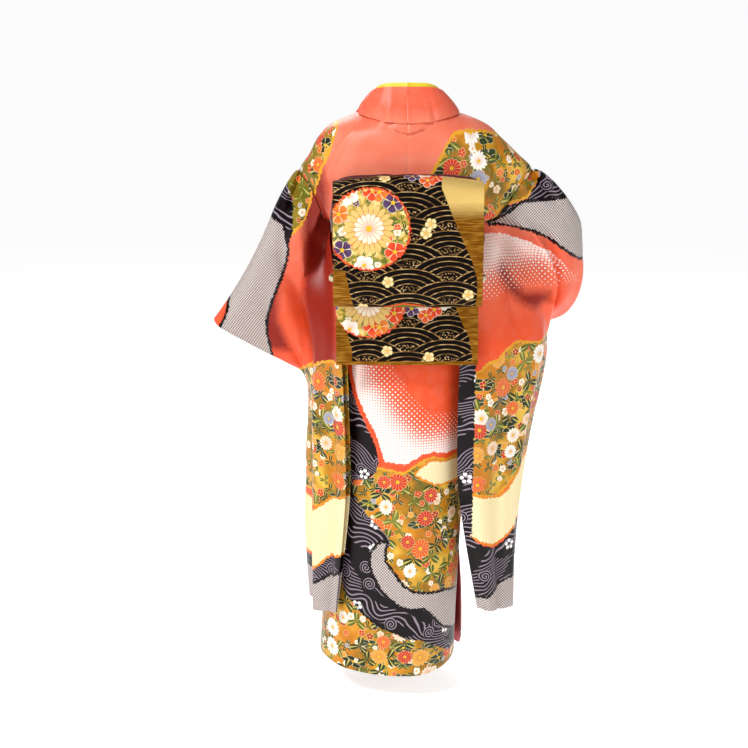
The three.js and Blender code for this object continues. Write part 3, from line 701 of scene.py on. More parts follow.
def overlap_point(side, share, row, depth):
    """Points of an overlap panel, by the share of its width and the row, at a depth under its face."""
    over = side > 0
    seam_level = row_level(row, OVERLAP_SEAM)
    edge = UNDER_OVERLAP_DEG
    if over:
        edge = lerp(OVER_OVERLAP_DEG["waist"], OVER_OVERLAP_DEG["hem"], smooth((-600 - row) / 650))
    deg = lerp(OVERLAP_SEAM + SEAM_GAP_DEG, edge, share)
    hem = BODY["level"][0]
    level = lerp(hem, neckline_at(deg), (seam_level - hem) / (neckline_at(OVERLAP_SEAM) - hem))
    lift = over_lift(deg, level) if over else np.zeros_like(deg)
    return on_body(side * deg, level, lift - depth), deg, level


def overlap_panel(side):
    """An overlap panel from its seam to its free edge."""
    shares, rows = np.meshgrid(np.linspace(0, 1, 43), FINE_ROWS)
    points, degs, levels = overlap_point(side, shares, rows, 0)
    uv = np.stack([side * girth(degs, levels), levels], axis=-1)
    name = "left" if side > 0 else "right"
    zones = design_zones("body", *front_as_back(side * degs, levels))
    return grid_object(f"kimono_overlap_{name}", points, uv, points * [1, 1, 0], SILK, attributes=zones)


def hem_lining():
    """The lining just inside the free edge near the hem, which it passes a little."""
    across = np.linspace(HEM_LINING["from"], HEM_LINING["to"], 15)
    shares, rows = np.meshgrid(across, FINE_ROWS[FINE_ROWS <= HEM_LINING["top"]])
    points, degs, levels = overlap_point(1, shares, rows, SILK + LAYER_GAP)
    uv = np.stack([lengths_along(points, 1), levels], axis=-1)
    return grid_object("hem_lining", points, uv, points * [1, 1, 0], LINING)


# ---- collars ----
def collar_half(side, kind, name, thickness, inset):
    """Half a collar from the centre back down to the sash, laid inside the outer one by its inset."""
    over = side > 0
    lift = LAID_GAP + COLLAR_CLOTH
    chest_lift = (OVER_LIFT["chest"] if over else 0) + lift
    folds = []
    for _, _, (x, y, z) in COLLAR:
        laid = on_chest(side * x, z, chest_lift) if y is None else np.array([side * x, y, z], float)
        folds.append(laid)
    folds = np.array(folds)
    degs = [row[0] for row in COLLAR]
    laps = [row[1] for row in COLLAR]
    first_on_chest = next(k for k, row in enumerate(COLLAR) if row[2][1] is None)

    def seam_at(place):
        """Points of the collar's seam on the body panels."""
        deg = through(degs, place)
        level = neckline_at(deg) - through(laps, place)
        own = over_lift(deg, level) if over else 0
        return on_body(side * deg, level, own + lift + SHOULDER_CLEARANCE * bump(deg - 126, 26))

    def middle(place, across):
        """Points between seam and fold edge, laid on the chest below the shoulder."""
        point = lerp(seam_at(place), through(folds, place), across[..., None])
        laid = smooth(place - first_on_chest + 1)[..., None]
        chest = on_chest(point[..., 0], np.minimum(point[..., 2], -60), chest_lift)
        return lerp(point, chest, laid)

    end = COLLAR_END[kind]
    along = np.linspace(0, end, int(end * 9) + 1)
    places, across = np.meshgrid(along, np.linspace(*COLLAR_REACH[kind], 13), indexing="ij")
    outward = normal_of(middle, np.maximum(places, 0.06), across, 0.05, 0.05)
    points = middle(places, across)
    neckward = np.stack([-0.2 * points[..., 0], -points[..., 1], np.full(places.shape, -60.0)], axis=-1)
    outward = np.where(np.sum(outward * neckward, axis=-1)[..., None] > 0, -outward, outward)
    outward[0, :, 0] = 0
    crown = (2.6 - 2 * smooth((places - 3) / 2)) * 4 * across * (1 - across)
    points = points + outward * (crown - inset)[..., None]
    points[0, :, 0] = side * 0.2
    uv = np.stack([lengths_along(points, 0), lengths_along(points, 1)], axis=-1)
    zones = design_zones("collar", points[..., 0], points[..., 2])
    return grid_object(name, points, uv, outward, thickness, attributes=zones)


# ---- sleeves ----
def sleeve(side, rows, folds, name):
    """A sleeve as one cloth round its back, top, front and foot, open to the body and at the cuff."""
    last = len(rows) - 1
    edges = np.array([row[:3] for row in rows], float)
    edges[:, 0, 0] -= side * np.array(SLEEVE_SNUG["left" if side > 0 else "right"])
    rooms = np.array([row[3] for row in rows], float)

    def weights(across):
        return (1 - across) * (1 - 2 * across), 4 * across * (1 - across), across * (2 * across - 1)

    def sheet(across, down):
        """The plain middle of the sleeve, between its tail, middle and cuff edges."""
        across, down = np.broadcast_arrays(across, down)
        rails = through(edges, down)
        return sum(w[..., None] * rails[..., k, :] for k, w in enumerate(weights(across)))

    facing = -1 if normal_of(sheet, 0.2, 4, 0.02, 0.06)[1] < 0 else 1

    def face_back(across, down):
        return facing * normal_of(sheet, across, down, 0.02, 0.06)

    def room_at(across, down):
        room = through(rooms, down)
        return np.maximum(2, sum(w * room[..., k] for k, w in enumerate(weights(across))))

    def fold_at(across, down):
        """How far the folds stand out, none at the edges."""
        total = np.zeros(np.broadcast(across, down).shape)
        for (a0, a1), (d0, d1), width, depth in folds:
            along = (down - d0) / (d1 - d0)
            ends = smooth(along * 2.4) if d1 >= last else np.sin(np.pi * np.clip(along, 0, 1))
            edge = smooth(across / 0.1) * smooth((1 - across) / 0.1)
            total += depth * bump(across - lerp(a0, a1, np.clip(along, 0, 1)), width) * ends * edge
        return total

    def plain_point(across, down, sign):
        away = fold_at(across, down) + sign * room_at(across, down)
        return sheet(across, down) + face_back(across, down) * away[..., None]

    seam_levels = ARMHOLE_LEVELS[1:-1][::-1]
    attached = [ARMHOLE_ROWS * (i + 0.5) / len(seam_levels) for i in range(len(seam_levels))]
    seam_downs = [0.0] + attached + [ARMHOLE_ROWS]
    seam_marks = [ARMHOLE["top"] - 3] + seam_levels + [ARMHOLE["bottom"]]

    def seam_shift(down, sign):
        """The way from the plain sleeve to the armhole's edge, fading below it."""
        held = np.minimum(down, ARMHOLE_ROWS)
        level = np.interp(held, seam_downs, seam_marks)
        deg = armhole_edge(level, -sign)
        lift = over_lift(deg, level) if side > 0 else np.zeros_like(deg)
        edge = on_body(side * deg, level, lift) + [side * SLEEVE_SEAM_GAP, 0, 0]
        fade = 1 - smooth((down - ARMHOLE_ROWS) / ARMHOLE_FADE)
        return (edge - plain_point(np.zeros_like(down), held, sign)) * fade[..., None]

    across = refine([0, ARMHOLE_SHARE, 1], [30, 56])
    downs = np.concatenate([np.linspace(0.08, ARMHOLE_ROWS, 25), np.linspace(ARMHOLE_ROWS, last, 96)[1:]])

    def layer(sign):
        """The back or the front of the sleeve."""
        a, d = np.meshgrid(across, downs, indexing="ij")
        hold = (1 - smooth(a / ARMHOLE_SHARE))[..., None]
        return plain_point(a, d, sign) + seam_shift(d, sign) * hold, (a, d)

    def cap():
        """The cloth over the arm, from the back round to the front."""
        a, angle = np.meshgrid(across, np.linspace(0, np.pi, 14)[1:-1], indexing="ij")
        zero = np.zeros_like(a)
        hold = (1 - smooth(a / ARMHOLE_SHARE))[..., None]
        size = room_at(a, zero)
        off = unit(sheet(a, zero) - sheet(a, zero + 0.1))
        away = fold_at(a, zero) + size * np.cos(angle)
        rise = off * (size * np.sin(angle))[..., None]
        plain = sheet(a, zero) + face_back(a, zero) * away[..., None] + rise
        deg = side * (SIDE_SEAM - 4 * np.cos(angle))
        spread = on_body(deg, zero + ARMHOLE["top"] - 3, zero) + [side * SLEEVE_SEAM_GAP, 0, 0]
        return lerp(plain, spread, hold), (a, zero)

    def bottom():
        """The fold at the foot of the sleeve."""
        a = across[:, None]
        d = np.full_like(a, last)
        off = unit(sheet(a, d) - sheet(a, d - 0.1))
        return sheet(a, d) + off * 2 + face_back(a, d) * fold_at(a, d)[..., None], (a, d)

    back, (a_back, d_back) = layer(1)
    front, (a_front, d_front) = layer(-1)
    top, (a_top, d_top) = cap()
    end, (a_end, d_end) = bottom()
    points = np.concatenate([back[:, ::-1], top, front, end], axis=1)
    places = np.concatenate([a_back, a_top, a_front, a_end], axis=1)
    drops = np.concatenate([d_back[:, ::-1], d_top, d_front, d_end], axis=1)
    centre = sheet(places, drops)
    outward = points - centre
    # the design runs level: across it follows the cloth from the tail round to the cuff
    wrapped = np.concatenate([points, points[:, :1]], axis=1)
    back_way = np.maximum(wrapped[..., 1], 0) * 0.3 + np.minimum(wrapped[..., 1], 0) * 0.75
    uv = np.stack([side * wrapped[..., 0] - back_way, wrapped[..., 2]], axis=-1)
    kind = "sleeve_left" if side > 0 else "sleeve_right"
    zones = design_zones(kind, points[..., 0], points[..., 2])
    return grid_object(name, points, uv, outward, SLEEVE_SILK, closed=True, attributes=zones)


# ---- sash, bow, scarf and cord ----
def band_round(name, kind, size, rows, lift, thickness):
    """A band all the way round the waist, between its top and bottom, off the body by its lift."""
    levels = np.linspace(*size, rows)
    grid_degs, grid_levels = np.meshgrid(np.linspace(0, 360, 150, endpoint=False), levels)
    points = plain_body(grid_degs, grid_levels, lift(grid_degs, grid_levels))
    closed_points = np.concatenate([points, points[:, :1]], axis=1)
    uv = np.stack([lengths_along(closed_points, 1), closed_points[..., 2]], axis=-1)
    zones = design_zones(kind, points[..., 0], points[..., 2])
    return grid_object(name, points, uv, points * [1, 1, 0], thickness, closed=True, attributes=zones)


def sash_lift(deg, level):
    return SASH["lift"] + 0 * deg


def tuck_lift(deg, level):
    """How far the tuck stands off the body: rounded in the middle and fuller on one side of the front."""
    down = np.clip((TUCK["top"] - level) / (TUCK["top"] - TUCK["bottom"]), 0, 1)
    full = bump((deg - TUCK_FULL["deg"] + 540) % 360 - 180, TUCK_FULL["reach"])
    belly = np.sin(np.pi * np.minimum(1, 0.12 + down * 0.78))
    return TUCK["lift"] + TUCK["spread"] * down + (TUCK["belly"] + TUCK_FULL["more"] * full) * belly


def sash_strip(name, kind, profile, width, bow, arch, per_row):
    """A width of sash cloth along a side view, its edges set forward by the bow and down by the arch."""
    last = len(profile["back"]) - 1
    places = np.linspace(0, last, per_row * last + 1)
    across = np.linspace(-1, 1, 61)
    place, share = np.meshgrid(places, across, indexing="ij")
    drop = share**2
    points = np.stack(
        [
            width / 2 * share,
            through(profile["back"], place) - bow * drop,
            through(profile["high"], place) - arch(place) * drop,
        ],
        axis=-1,
    )
    along = np.stack([through(profile["back"], place), through(profile["high"], place)], axis=-1)
    tangent = np.gradient(along, axis=0)
    outward = np.stack([np.zeros_like(place), -tangent[..., 1], tangent[..., 0]], axis=-1)
    uv = np.stack([points[..., 0], -lengths_along(along, 0)], axis=-1)
    zones = design_zones(kind, uv[..., 0], uv[..., 1])
    return grid_object(name, points, uv, outward, BROCADE, attributes=zones)


def drum_arch(place):
    """How far the drum's edges sink below its middle: most over its top."""
    return 13 * bump(place - 3, 2.2)


def tail_arch(place):
    return 2 + 0 * place


def closed_route(half, steps):
    """A closed smooth loop through a mirrored half route: its points and tangents."""
    half = np.array(half, float)
    loop = np.concatenate([half, half[-2:0:-1] * [-1, 1, 1]])
    wrapped = np.concatenate([loop[-2:], loop, loop[:3]])
    fine = through(wrapped, np.linspace(2, 2 + len(loop), 40 * len(loop) + 1))
    run = lengths_along(fine, 0)
    even = np.linspace(0, run[-1], steps, endpoint=False)
    points = np.stack([np.interp(even, run, fine[:, k]) for k in range(3)], axis=-1)
    tangent = unit(np.roll(points, -1, axis=0) - np.roll(points, 1, axis=0))
    return points, tangent, even


def rings_object(name, rings, along, step, closed):
    """A soft solid from rings of points. Where it isn't closed on itself, its ends come to a point."""
    rows, cols = rings.shape[:2]
    i, j = np.indices((rows if closed else rows - 1, cols)).reshape(2, -1)
    nexts, k = (i + 1) % rows, (j + 1) % cols
    quads = np.stack([i * cols + j, nexts * cols + j, nexts * cols + k, i * cols + k], axis=1)
    u = along[np.stack([i, i + 1, i + 1, i], axis=1)]
    v = np.stack([j, j, j + 1, j + 1], axis=1) * step
    mesh = bpy.data.meshes.new(name)
    mesh.from_pydata((rings.reshape(-1, 3) * MM).tolist(), [], quads.tolist())
    layer = mesh.uv_layers.new(name="cloth")
    layer.data.foreach_set("uv", np.ascontiguousarray(np.stack([u, v], axis=-1) * MM).ravel())
    obj = bpy.data.objects.new(name, mesh)
    bpy.context.scene.collection.objects.link(obj)
    select_only(obj)
    bpy.ops.object.mode_set(mode="EDIT")
    bpy.ops.mesh.select_all(action="SELECT")
    if not closed:
        bpy.ops.mesh.remove_doubles(threshold=0.01 * MM)
    bpy.ops.mesh.normals_make_consistent(inside=False)
    bpy.ops.object.mode_set(mode="OBJECT")
    bpy.ops.object.shade_smooth()
    return obj


def soft_loop(name, half, steps, sides, thick, tall, crumple):
    """A soft band or cord along a closed route, with its thickness out from the body and its height up."""
    points, tangent, run = closed_route(half, steps)
    out = unit(points * [1, 1, 0])
    out = unit(out - tangent * np.sum(out * tangent, axis=-1, keepdims=True))
    up = unit(np.cross(tangent, out))
    up = np.where(up[:, 2:] < 0, -up, up)
    angle, where = np.meshgrid(np.linspace(0, 2 * np.pi, sides, endpoint=False), run)
    swell = 1 + crumple(angle, where)
    rings = (
        points[:, None]
        + out[:, None] * (np.cos(angle) * thick / 2 * swell)[..., None]
        + up[:, None] * (np.sin(angle) * tall(where / run[-1]) / 2 * swell)[..., None]
    )
    along = np.append(run, run[-1] + run[1] - run[0])
    return rings_object(name, rings, along, SOFT_GIRTH / sides, closed=True)


def scarf_height(share):
    return 17 + 8 * smooth((np.abs(share - 0.5) - 0.34) / 0.06)


def crepe_crumple(angle, run):
    """Small soft gathers along the scarf, uneven along its length."""
    along = 0.05 * np.sin(run / 7.1 + 1.4 * np.sin(run / 31)) + 0.04 * np.sin(run / 12.7 + 2 * angle)
    return -0.06 + along


def soft_pad(name, centre, size, ridges=0.0):
    """A rounded pad or knot, as rings of points from one end across to the other."""
    turns, sides = 40, 48
    t, angle = np.meshgrid(
        np.linspace(0, np.pi, turns), np.linspace(0, 2 * np.pi, sides, endpoint=False), indexing="ij"
    )
    swell = 1 - ridges * (0.5 + 0.5 * np.cos(3 * angle + 6 * t))
    x = -np.cos(t) * size[0] / 2
    y = np.sin(t) ** 0.7 * np.cos(angle) * size[1] / 2 * swell
    z = np.sin(t) ** 0.7 * np.sin(angle) * size[2] / 2 * swell
    rings = np.stack([x, y, z], axis=-1) + centre
    return rings_object(name, rings, x[:, 0], np.pi * size[2] / sides, closed=False)


# ---- materials ----
# Scales of the patterns, in millimetres: from one tied dot, water line or rib to the next, how far the
# water's bends, sheaves and curls lie apart, how wide a curl's turns are, and the width of a wave scale.
TIED_DOT = 8.6
FINE_TIED_DOT = 4.6
WATER = {"line": 9.5, "bend": 85, "sheaf": 50, "curl": 58, "turn": 6.0, "curl_radius": 15.0}
WAVE = {"wide": 172, "flat": 0.62}
WEFT_RIB = 5.2
BRAID_STRAND = (3.4, 3.0)


def linear(code):
    """A linear colour with alpha, from an sRGB hex code or from a colour of the settings."""
    if isinstance(code, Color):
        return [*code, 1.0]
    values = [int(code[k : k + 2], 16) / 255 for k in (1, 3, 5)]
    return [v / 12.92 if v <= 0.04045 else ((v + 0.055) / 1.055) ** 2.4 for v in values] + [1.0]


def add(tree, kind, *inputs, out=0, ramp=None, **values):
    """Add a node with its settings, set or link its inputs in order, and give one of its outputs."""
    node = tree.nodes.new("ShaderNode" + kind)
    for key, value in values.items():
        setattr(node, key, value)
    for socket, value in zip(node.inputs, inputs):
        if isinstance(value, bpy.types.NodeSocket):
            tree.links.new(value, socket)
        elif value is not None:
            socket.default_value = linear(value) if isinstance(value, (str, Color)) else value
    if ramp:
        node.color_ramp.interpolation = ramp[0]
        stops = node.color_ramp.elements
        while len(stops) < len(ramp) - 1:
            stops.new(1.0)
        for stop, (place, code) in zip(stops, ramp[1:]):
            stop.position, stop.color = place, linear(code)
    return node.outputs[out]


def new_material(name, roughness, sheen=0.0):
    """A material with the values that are the same all over it, and its shader."""
    material = bpy.data.materials.new(name)
    material.use_nodes = True
    shader = material.node_tree.nodes["Principled BSDF"]
    shader.inputs["Roughness"].default_value = roughness
    shader.inputs["Sheen Weight"].default_value = sheen
    shader.inputs["Sheen Roughness"].default_value = 0.4
    return material, shader


def cloth_place(tree):
    """Millimetres along the cloth."""
    return add(tree, "VectorMath", add(tree, "UVMap", uv_map="cloth"), (1000,) * 3, operation="MULTIPLY")


def dot_distance(tree, cloth, pitch, turn):
    """How far each place is from the heart of its tied dot, in pitches."""
    turned = add(tree, "VectorRotate", cloth, None, (0, 0, 1), math.radians(turn))
    cell = add(tree, "VectorMath", turned, (1 / pitch, 1 / pitch, 0), operation="MULTIPLY")
    part = add(tree, "VectorMath", cell, operation="FRACTION")
    away = add(tree, "VectorMath", part, (0.5, 0.5, 0), operation="SUBTRACT")
    return add(tree, "VectorMath", away, operation="LENGTH", out=1)


def scattered(tree, cloth, cell, seed, randomness):
    """Spots scattered one to a cell: the way from the spot, its length, its angle and three chances."""
    at = add(tree, "VectorMath", cloth, (seed * 31, seed * 17, 0), operation="ADD")
    spot = add(tree, "TexVoronoi", at, None, 1 / cell, *[None] * 5, randomness, voronoi_dimensions="2D")
    away = add(tree, "VectorMath", at, spot.node.outputs["Position"], operation="SUBTRACT")
    length = add(tree, "VectorMath", away, operation="LENGTH", out=1)
    parts = add(tree, "SeparateXYZ", away).node.outputs
    angle = add(tree, "Math", parts[1], parts[0], operation="ARCTAN2")
    chances = add(tree, "SeparateColor", spot.node.outputs["Color"]).node.outputs
    return length, angle, chances


def flower(tree, under, length, angle, size, petals, hue, line, there=1.0, spin=0.0):
    """A flower over a ground: petals with drawn edges, deeper towards a yellow heart. Also its mask."""
    turn = add(tree, "Math", angle, petals / 2, spin, operation="MULTIPLY_ADD")
    lobe = add(tree, "Math", add(tree, "Math", turn, operation="COSINE"), operation="ABSOLUTE")
    lobed = add(tree, "MapRange", add(tree, "Math", lobe, 0.55, operation="POWER"), 0, 1, 0.7, 1)
    edge = add(tree, "Math", lobed, size, operation="MULTIPLY")
    within = add(tree, "Math", edge, length, operation="SUBTRACT")
    body = add(tree, "Math", add(tree, "MapRange", within, -0.4, 0.4), there, operation="MULTIPLY")
    ring = add(tree, "Math", length, size, operation="DIVIDE")
    deep = add(tree, "MixRGB", 0.6, hue, "#c8321e", blend_type="MULTIPLY")
    petal = add(tree, "MixRGB", add(tree, "MapRange", ring, 0.15, 0.7, 0.7, 0), hue, deep)
    between = add(tree, "MapRange", lobe, 0.1, 0.24, 1, 0)
    drawn = add(tree, "Math", between, add(tree, "MapRange", within, 0.5, 1.3, 1, 0), operation="MAXIMUM")
    lined = add(tree, "MixRGB", add(tree, "Math", drawn, 0.85, operation="MULTIPLY"), petal, line)
    heart = add(tree, "MixRGB", add(tree, "MapRange", ring, 0.17, 0.22, 1, 0), lined, "#e8b82c")
    return add(tree, "MixRGB", body, under, heart), body


def from_list(tree, chance, hues):
    """One of a list of colours, by a chance from 0 to 1."""
    stops = [(k / len(hues), hue) for k, hue in enumerate(hues)]
    return add(tree, "ValToRGB", chance, ramp=["CONSTANT", *stops])


def blossoms(tree, under, cloth, cell, petals, share, seed, hues, line, sizes=(0.27, 0.46)):
    """Flowers scattered over a ground. Also their mask."""
    length, angle, chances = scattered(tree, cloth, cell, seed, 0.75)
    size = add(tree, "MapRange", chances[0], 0, 1, sizes[0] * cell, sizes[1] * cell)
    spin = add(tree, "Math", chances[1], 6.28, operation="MULTIPLY")
    there = add(tree, "Math", chances[2], share, operation="LESS_THAN")
    hue = from_list(tree, chances[1], hues)
    return flower(tree, under, length, angle, size, petals, hue, line, there, spin)


def placed_flowers(tree, under, cloth, places, size, petals, hues, line, spin=0.4):
    """Flowers at given places of the cloth, each in its own colour of the list."""
    near, order = add(tree, "VectorMath", cloth, (*places[0], 0), operation="SUBTRACT"), 0.0
    for k, place in enumerate(places[1:], 1):
        away = add(tree, "VectorMath", cloth, (*place, 0), operation="SUBTRACT")
        length = add(tree, "VectorMath", away, operation="LENGTH", out=1)
        nearest = add(tree, "VectorMath", near, operation="LENGTH", out=1)
        closer = add(tree, "Math", length, nearest, operation="LESS_THAN")
        near = add(tree, "MixRGB", closer, near, away)
        order = add(tree, "Mix", closer, None, order, (k + 0.5) / len(places))
    length = add(tree, "VectorMath", near, operation="LENGTH", out=1)
    parts = add(tree, "SeparateXYZ", near).node.outputs
    angle = add(tree, "Math", parts[1], parts[0], operation="ARCTAN2")
    return flower(tree, under, length, angle, size, petals, from_list(tree, order, hues), line, 1.0, spin)[0]


def leaves(tree, under, cloth, cell, share, seed, hues):
    """Leaves in threes scattered over a ground."""
    length, angle, chances = scattered(tree, cloth, cell, seed, 1.0)
    turn = add(tree, "Math", angle, 1.5, chances[1], operation="MULTIPLY_ADD")
    lobe = add(tree, "Math", add(tree, "Math", turn, operation="COSINE"), operation="ABSOLUTE")
    pointed = add(tree, "Math", lobe, 2.2, operation="POWER")
    reach = add(tree, "Math", pointed, 0.52 * cell, operation="MULTIPLY")
    within = add(tree, "Math", reach, length, operation="SUBTRACT")
    there = add(tree, "Math", chances[2], share, operation="LESS_THAN")
    body = add(tree, "Math", add(tree, "MapRange", within, -0.4, 0.4), there, operation="MULTIPLY")
    hue = from_list(tree, chances[0], hues)
    vein = add(tree, "MixRGB", add(tree, "MapRange", lobe, 0.985, 0.995), hue, "#c9b45a")
    return add(tree, "MixRGB", body, under, vein)


def plum_marks(tree, under, cloth, cell, share, seed, size, hue):
    """Small plum blossoms of five round petals, well apart."""
    length, angle, chances = scattered(tree, cloth, cell, seed, 0.8)
    fifth = 2 * math.pi / 5
    turned = add(tree, "Math", angle, chances[1], operation="ADD")
    within = add(tree, "Math", turned, fifth / 2, -fifth / 2, operation="WRAP")
    x = add(tree, "Math", length, add(tree, "Math", within, operation="COSINE"), operation="MULTIPLY")
    y = add(tree, "Math", length, add(tree, "Math", within, operation="SINE"), operation="MULTIPLY")
    petal = add(tree, "CombineXYZ", add(tree, "Math", x, 0.62 * size, operation="SUBTRACT"), y)
    away = add(tree, "VectorMath", petal, operation="LENGTH", out=1)
    shape = add(tree, "MapRange", away, 0.29 * size, 0.33 * size, 1, 0)
    there = add(tree, "Math", chances[2], share, operation="LESS_THAN")
    return add(tree, "MixRGB", add(tree, "Math", shape, there, operation="MULTIPLY"), under, hue)


def water_lines(tree, under, cloth, hue):
    """Flowing lines of water in sheaves, with a curl here and there."""
    flow = add(tree, "VectorRotate", cloth, None, (0, 0, 1), math.radians(-24))
    bend = add(tree, "TexNoise", flow, None, 1 / WATER["bend"], 1.0, 0.35, 2.0, noise_dimensions="2D")
    across = add(tree, "SeparateXYZ", flow, out=1)
    sway = add(tree, "Math", bend, 7.5, operation="MULTIPLY")
    phase = add(tree, "Math", across, 1 / WATER["line"], sway, operation="MULTIPLY_ADD")
    band = add(tree, "Math", add(tree, "Math", phase, operation="FRACT"), 0.5, operation="SUBTRACT")
    line = add(tree, "MapRange", add(tree, "Math", band, operation="ABSOLUTE"), 0.1, 0.17, 1, 0)
    drawn_out = add(tree, "VectorMath", flow, (0.4, 1.3, 1), operation="MULTIPLY")
    apart = 1 / WATER["sheaf"]
    sheaf = add(tree, "TexNoise", drawn_out, None, apart, 0.0, 0.5, 2.0, noise_dimensions="2D")
    line = add(tree, "Math", line, add(tree, "MapRange", sheaf, 0.46, 0.48), operation="MULTIPLY")
    length, angle, chances = scattered(tree, cloth, WATER["curl"], seed=31, randomness=0.8)
    turns = add(tree, "Math", length, 1 / WATER["turn"], operation="MULTIPLY")
    coil = add(tree, "Math", angle, 1 / math.tau, turns, operation="MULTIPLY_ADD")
    coil = add(tree, "Math", add(tree, "Math", coil, operation="FRACT"), 0.5, operation="SUBTRACT")
    coil = add(tree, "MapRange", add(tree, "Math", coil, operation="ABSOLUTE"), 0.14, 0.22, 1, 0)
    near = add(tree, "Math", length, WATER["curl_radius"], operation="LESS_THAN")
    there = add(tree, "Math", chances[2], 0.55, operation="LESS_THAN")
    curl = add(tree, "Math", near, there, operation="MULTIPLY")
    line = add(tree, "Mix", curl, None, line, coil)
    return add(tree, "MixRGB", add(tree, "Math", line, 0.8, operation="MULTIPLY"), under, hue)


FLOWER_HUES = ["#fbf3e4", "#d8371c", "#e8641f", "#b3201a", "#fdfaf2"]
FLOWER_HUES += ["#e9a23a", "#d2301c", "#f6d9c0", "#9ca3bd"]
LEAF_HUES = ["#2c3a1c", "#4a5f26", "#1f3a2c", "#5f6a24", "#27423f", "#6f7c34"]


def kimono_silk():
    """Figured silk satin, dyed by hand-tied dots and by paste resist, with gold ground: it has a soft
    gloss along its folds, and tied areas are matt and puckered."""
    material, shader = new_material("yuzen_dyed_silk_satin", 0.4)
    shader.inputs["Specular IOR Level"].default_value = 0.2
    tree = material.node_tree
    cloth = cloth_place(tree)
    ragged = add(tree, "TexNoise", cloth, None, 1 / 7, 1.0, 0.5, 2.0, noise_dimensions="2D")
    wobble = add(tree, "MapRange", ragged, 0.3, 0.7, -1.6, 1.6)
    inside = {}
    for zone in SILK_ZONES:
        distance = add(tree, "Attribute", attribute_name=zone, out=2)
        inside[zone] = add(tree, "Math", distance, wobble, operation="ADD")

    # the coral ground, pinker over the shoulders, with a tone-on-tone figure
    height = add(tree, "SeparateXYZ", add(tree, "TexCoord", out=3), out=2)
    colours = settings()
    ground = add(tree, "MixRGB", add(tree, "MapRange", height, -0.5, -0.2), colours.coral, "#f28468")
    cloud = add(tree, "TexNoise", cloth, None, 1 / 90, 2.0, 0.5, 2.0, noise_dimensions="2D")
    ground = add(tree, "MixRGB", add(tree, "MapRange", cloud, 0.35, 0.7, 0, 0.4), ground, "#e04a26")
    ground = add(tree, "MixRGB", add(tree, "MapRange", height, -0.03, 0.0, 0, 0.8), ground, "#ef5f42")
    white = {"hues": ["#ffffff", "#ffe8e0"], "line": "#ffffff"}
    figure, woven = blossoms(tree, ground, cloth, cell=30, petals=8, share=0.7, seed=3, **white)
    coral = add(tree, "MixRGB", 0.02, ground, figure)
    # painted shade: inside the deep zone the coral darkens to deep red, in the valleys of folds and on the
    # flank beside the sleeve
    coral = add(tree, "MixRGB", add(tree, "MapRange", inside["deep"], -9, 14, 0, 0.9), coral, "#84120a")

    # tied white dots that thin out into the coral
    deep = inside["dots"]
    coarse = dot_distance(tree, cloth, TIED_DOT, turn=45)
    coarse_size = add(tree, "MapRange", deep, 0, 70, 0.12, 0.36)
    past = add(tree, "Math", coarse, coarse_size, operation="SUBTRACT")
    coarse_dot = add(tree, "MapRange", past, -0.06, 0.06, 1, 0)
    between = add(tree, "VectorMath", cloth, (TIED_DOT / math.sqrt(2), 0, 0), operation="ADD")
    fine = dot_distance(tree, between, TIED_DOT, turn=45)
    fine_size = add(tree, "MapRange", deep, 26, 90, 0.0, 0.42)
    past = add(tree, "Math", fine, fine_size, operation="SUBTRACT")
    fine_dot = add(tree, "MapRange", past, -0.06, 0.06, 1, 0)
    either = add(tree, "Math", coarse_dot, fine_dot, operation="MAXIMUM")
    full = add(tree, "MapRange", deep, 50, 115, 0, 0.55)
    white = add(tree, "Math", either, full, operation="MAXIMUM")
    started = add(tree, "Math", deep, 0, operation="GREATER_THAN")
    in_kanoko = add(tree, "MapRange", inside["kanoko"], -0.5, 0.5)
    allowed = add(tree, "Math", in_kanoko, started, operation="MULTIPLY")
    kanoko = add(tree, "Math", white, allowed, operation="MULTIPLY")
    dyed = add(tree, "MixRGB", kanoko, coral, "#fff1ea")

    # gold ground with pine clouds, leaves and flowers
    bands = add(tree, "TexNoise", cloth, None, 1 / 70, 2.0, 0.5, 2.0, noise_dimensions="2D")
    stops = [(0.3, "#6e6420"), (0.42, "#a36f17"), (0.55, colours.gold), (0.7, "#e8bb48")]
    gold = add(tree, "ValToRGB", bands, ramp=["LINEAR", *stops])
    gold = add(tree, "MixRGB", add(tree, "MapRange", cloud, 0.5, 0.6, 0, 0.6), gold, "#da7f1a")
    left = add(tree, "SeparateXYZ", add(tree, "TexCoord", out=3), out=0)
    upper = add(tree, "MapRange", height, -0.36, -0.28)
    olive = add(tree, "Math", add(tree, "MapRange", left, 0.12, 0.2), upper, operation="MULTIPLY")
    gold = add(tree, "MixRGB", add(tree, "Math", olive, 0.75, operation="MULTIPLY"), gold, "#66631a")
    flat = add(tree, "VectorMath", cloth, (1, 2.1, 1), operation="MULTIPLY")
    pine = {"hues": ["#263019", "#39452a"], "line": "#f3e4b8", "sizes": (0.24, 0.34)}
    gold, _ = blossoms(tree, gold, flat, cell=100, petals=6, share=0.6, seed=17, **pine)
    gold = leaves(tree, gold, cloth, cell=30, share=0.7, seed=5, hues=LEAF_HUES)
    small = {"hues": FLOWER_HUES, "line": "#f3dfa0"}
    gold, _ = blossoms(tree, gold, cloth, cell=22, petals=5, share=0.5, seed=7, **small)
    gold = leaves(tree, gold, cloth, cell=52, share=0.7, seed=9, hues=LEAF_HUES)
    large = {"hues": FLOWER_HUES, "line": "#f0d9a0", "sizes": (0.26, 0.44)}
    gold, _ = blossoms(tree, gold, cloth, cell=54, petals=14, share=0.6, seed=11, **large)
    in_gold = add(tree, "MapRange", inside["gold"], -0.5, 0.5)
    dyed = add(tree, "MixRGB", in_gold, dyed, gold)
    rim = add(tree, "MapRange", inside["gold"], 5, 6, 1, 0)
    rim = add(tree, "Math", rim, in_gold, operation="MULTIPLY")
    dyed = add(tree, "MixRGB", rim, dyed, "#e6a32a")

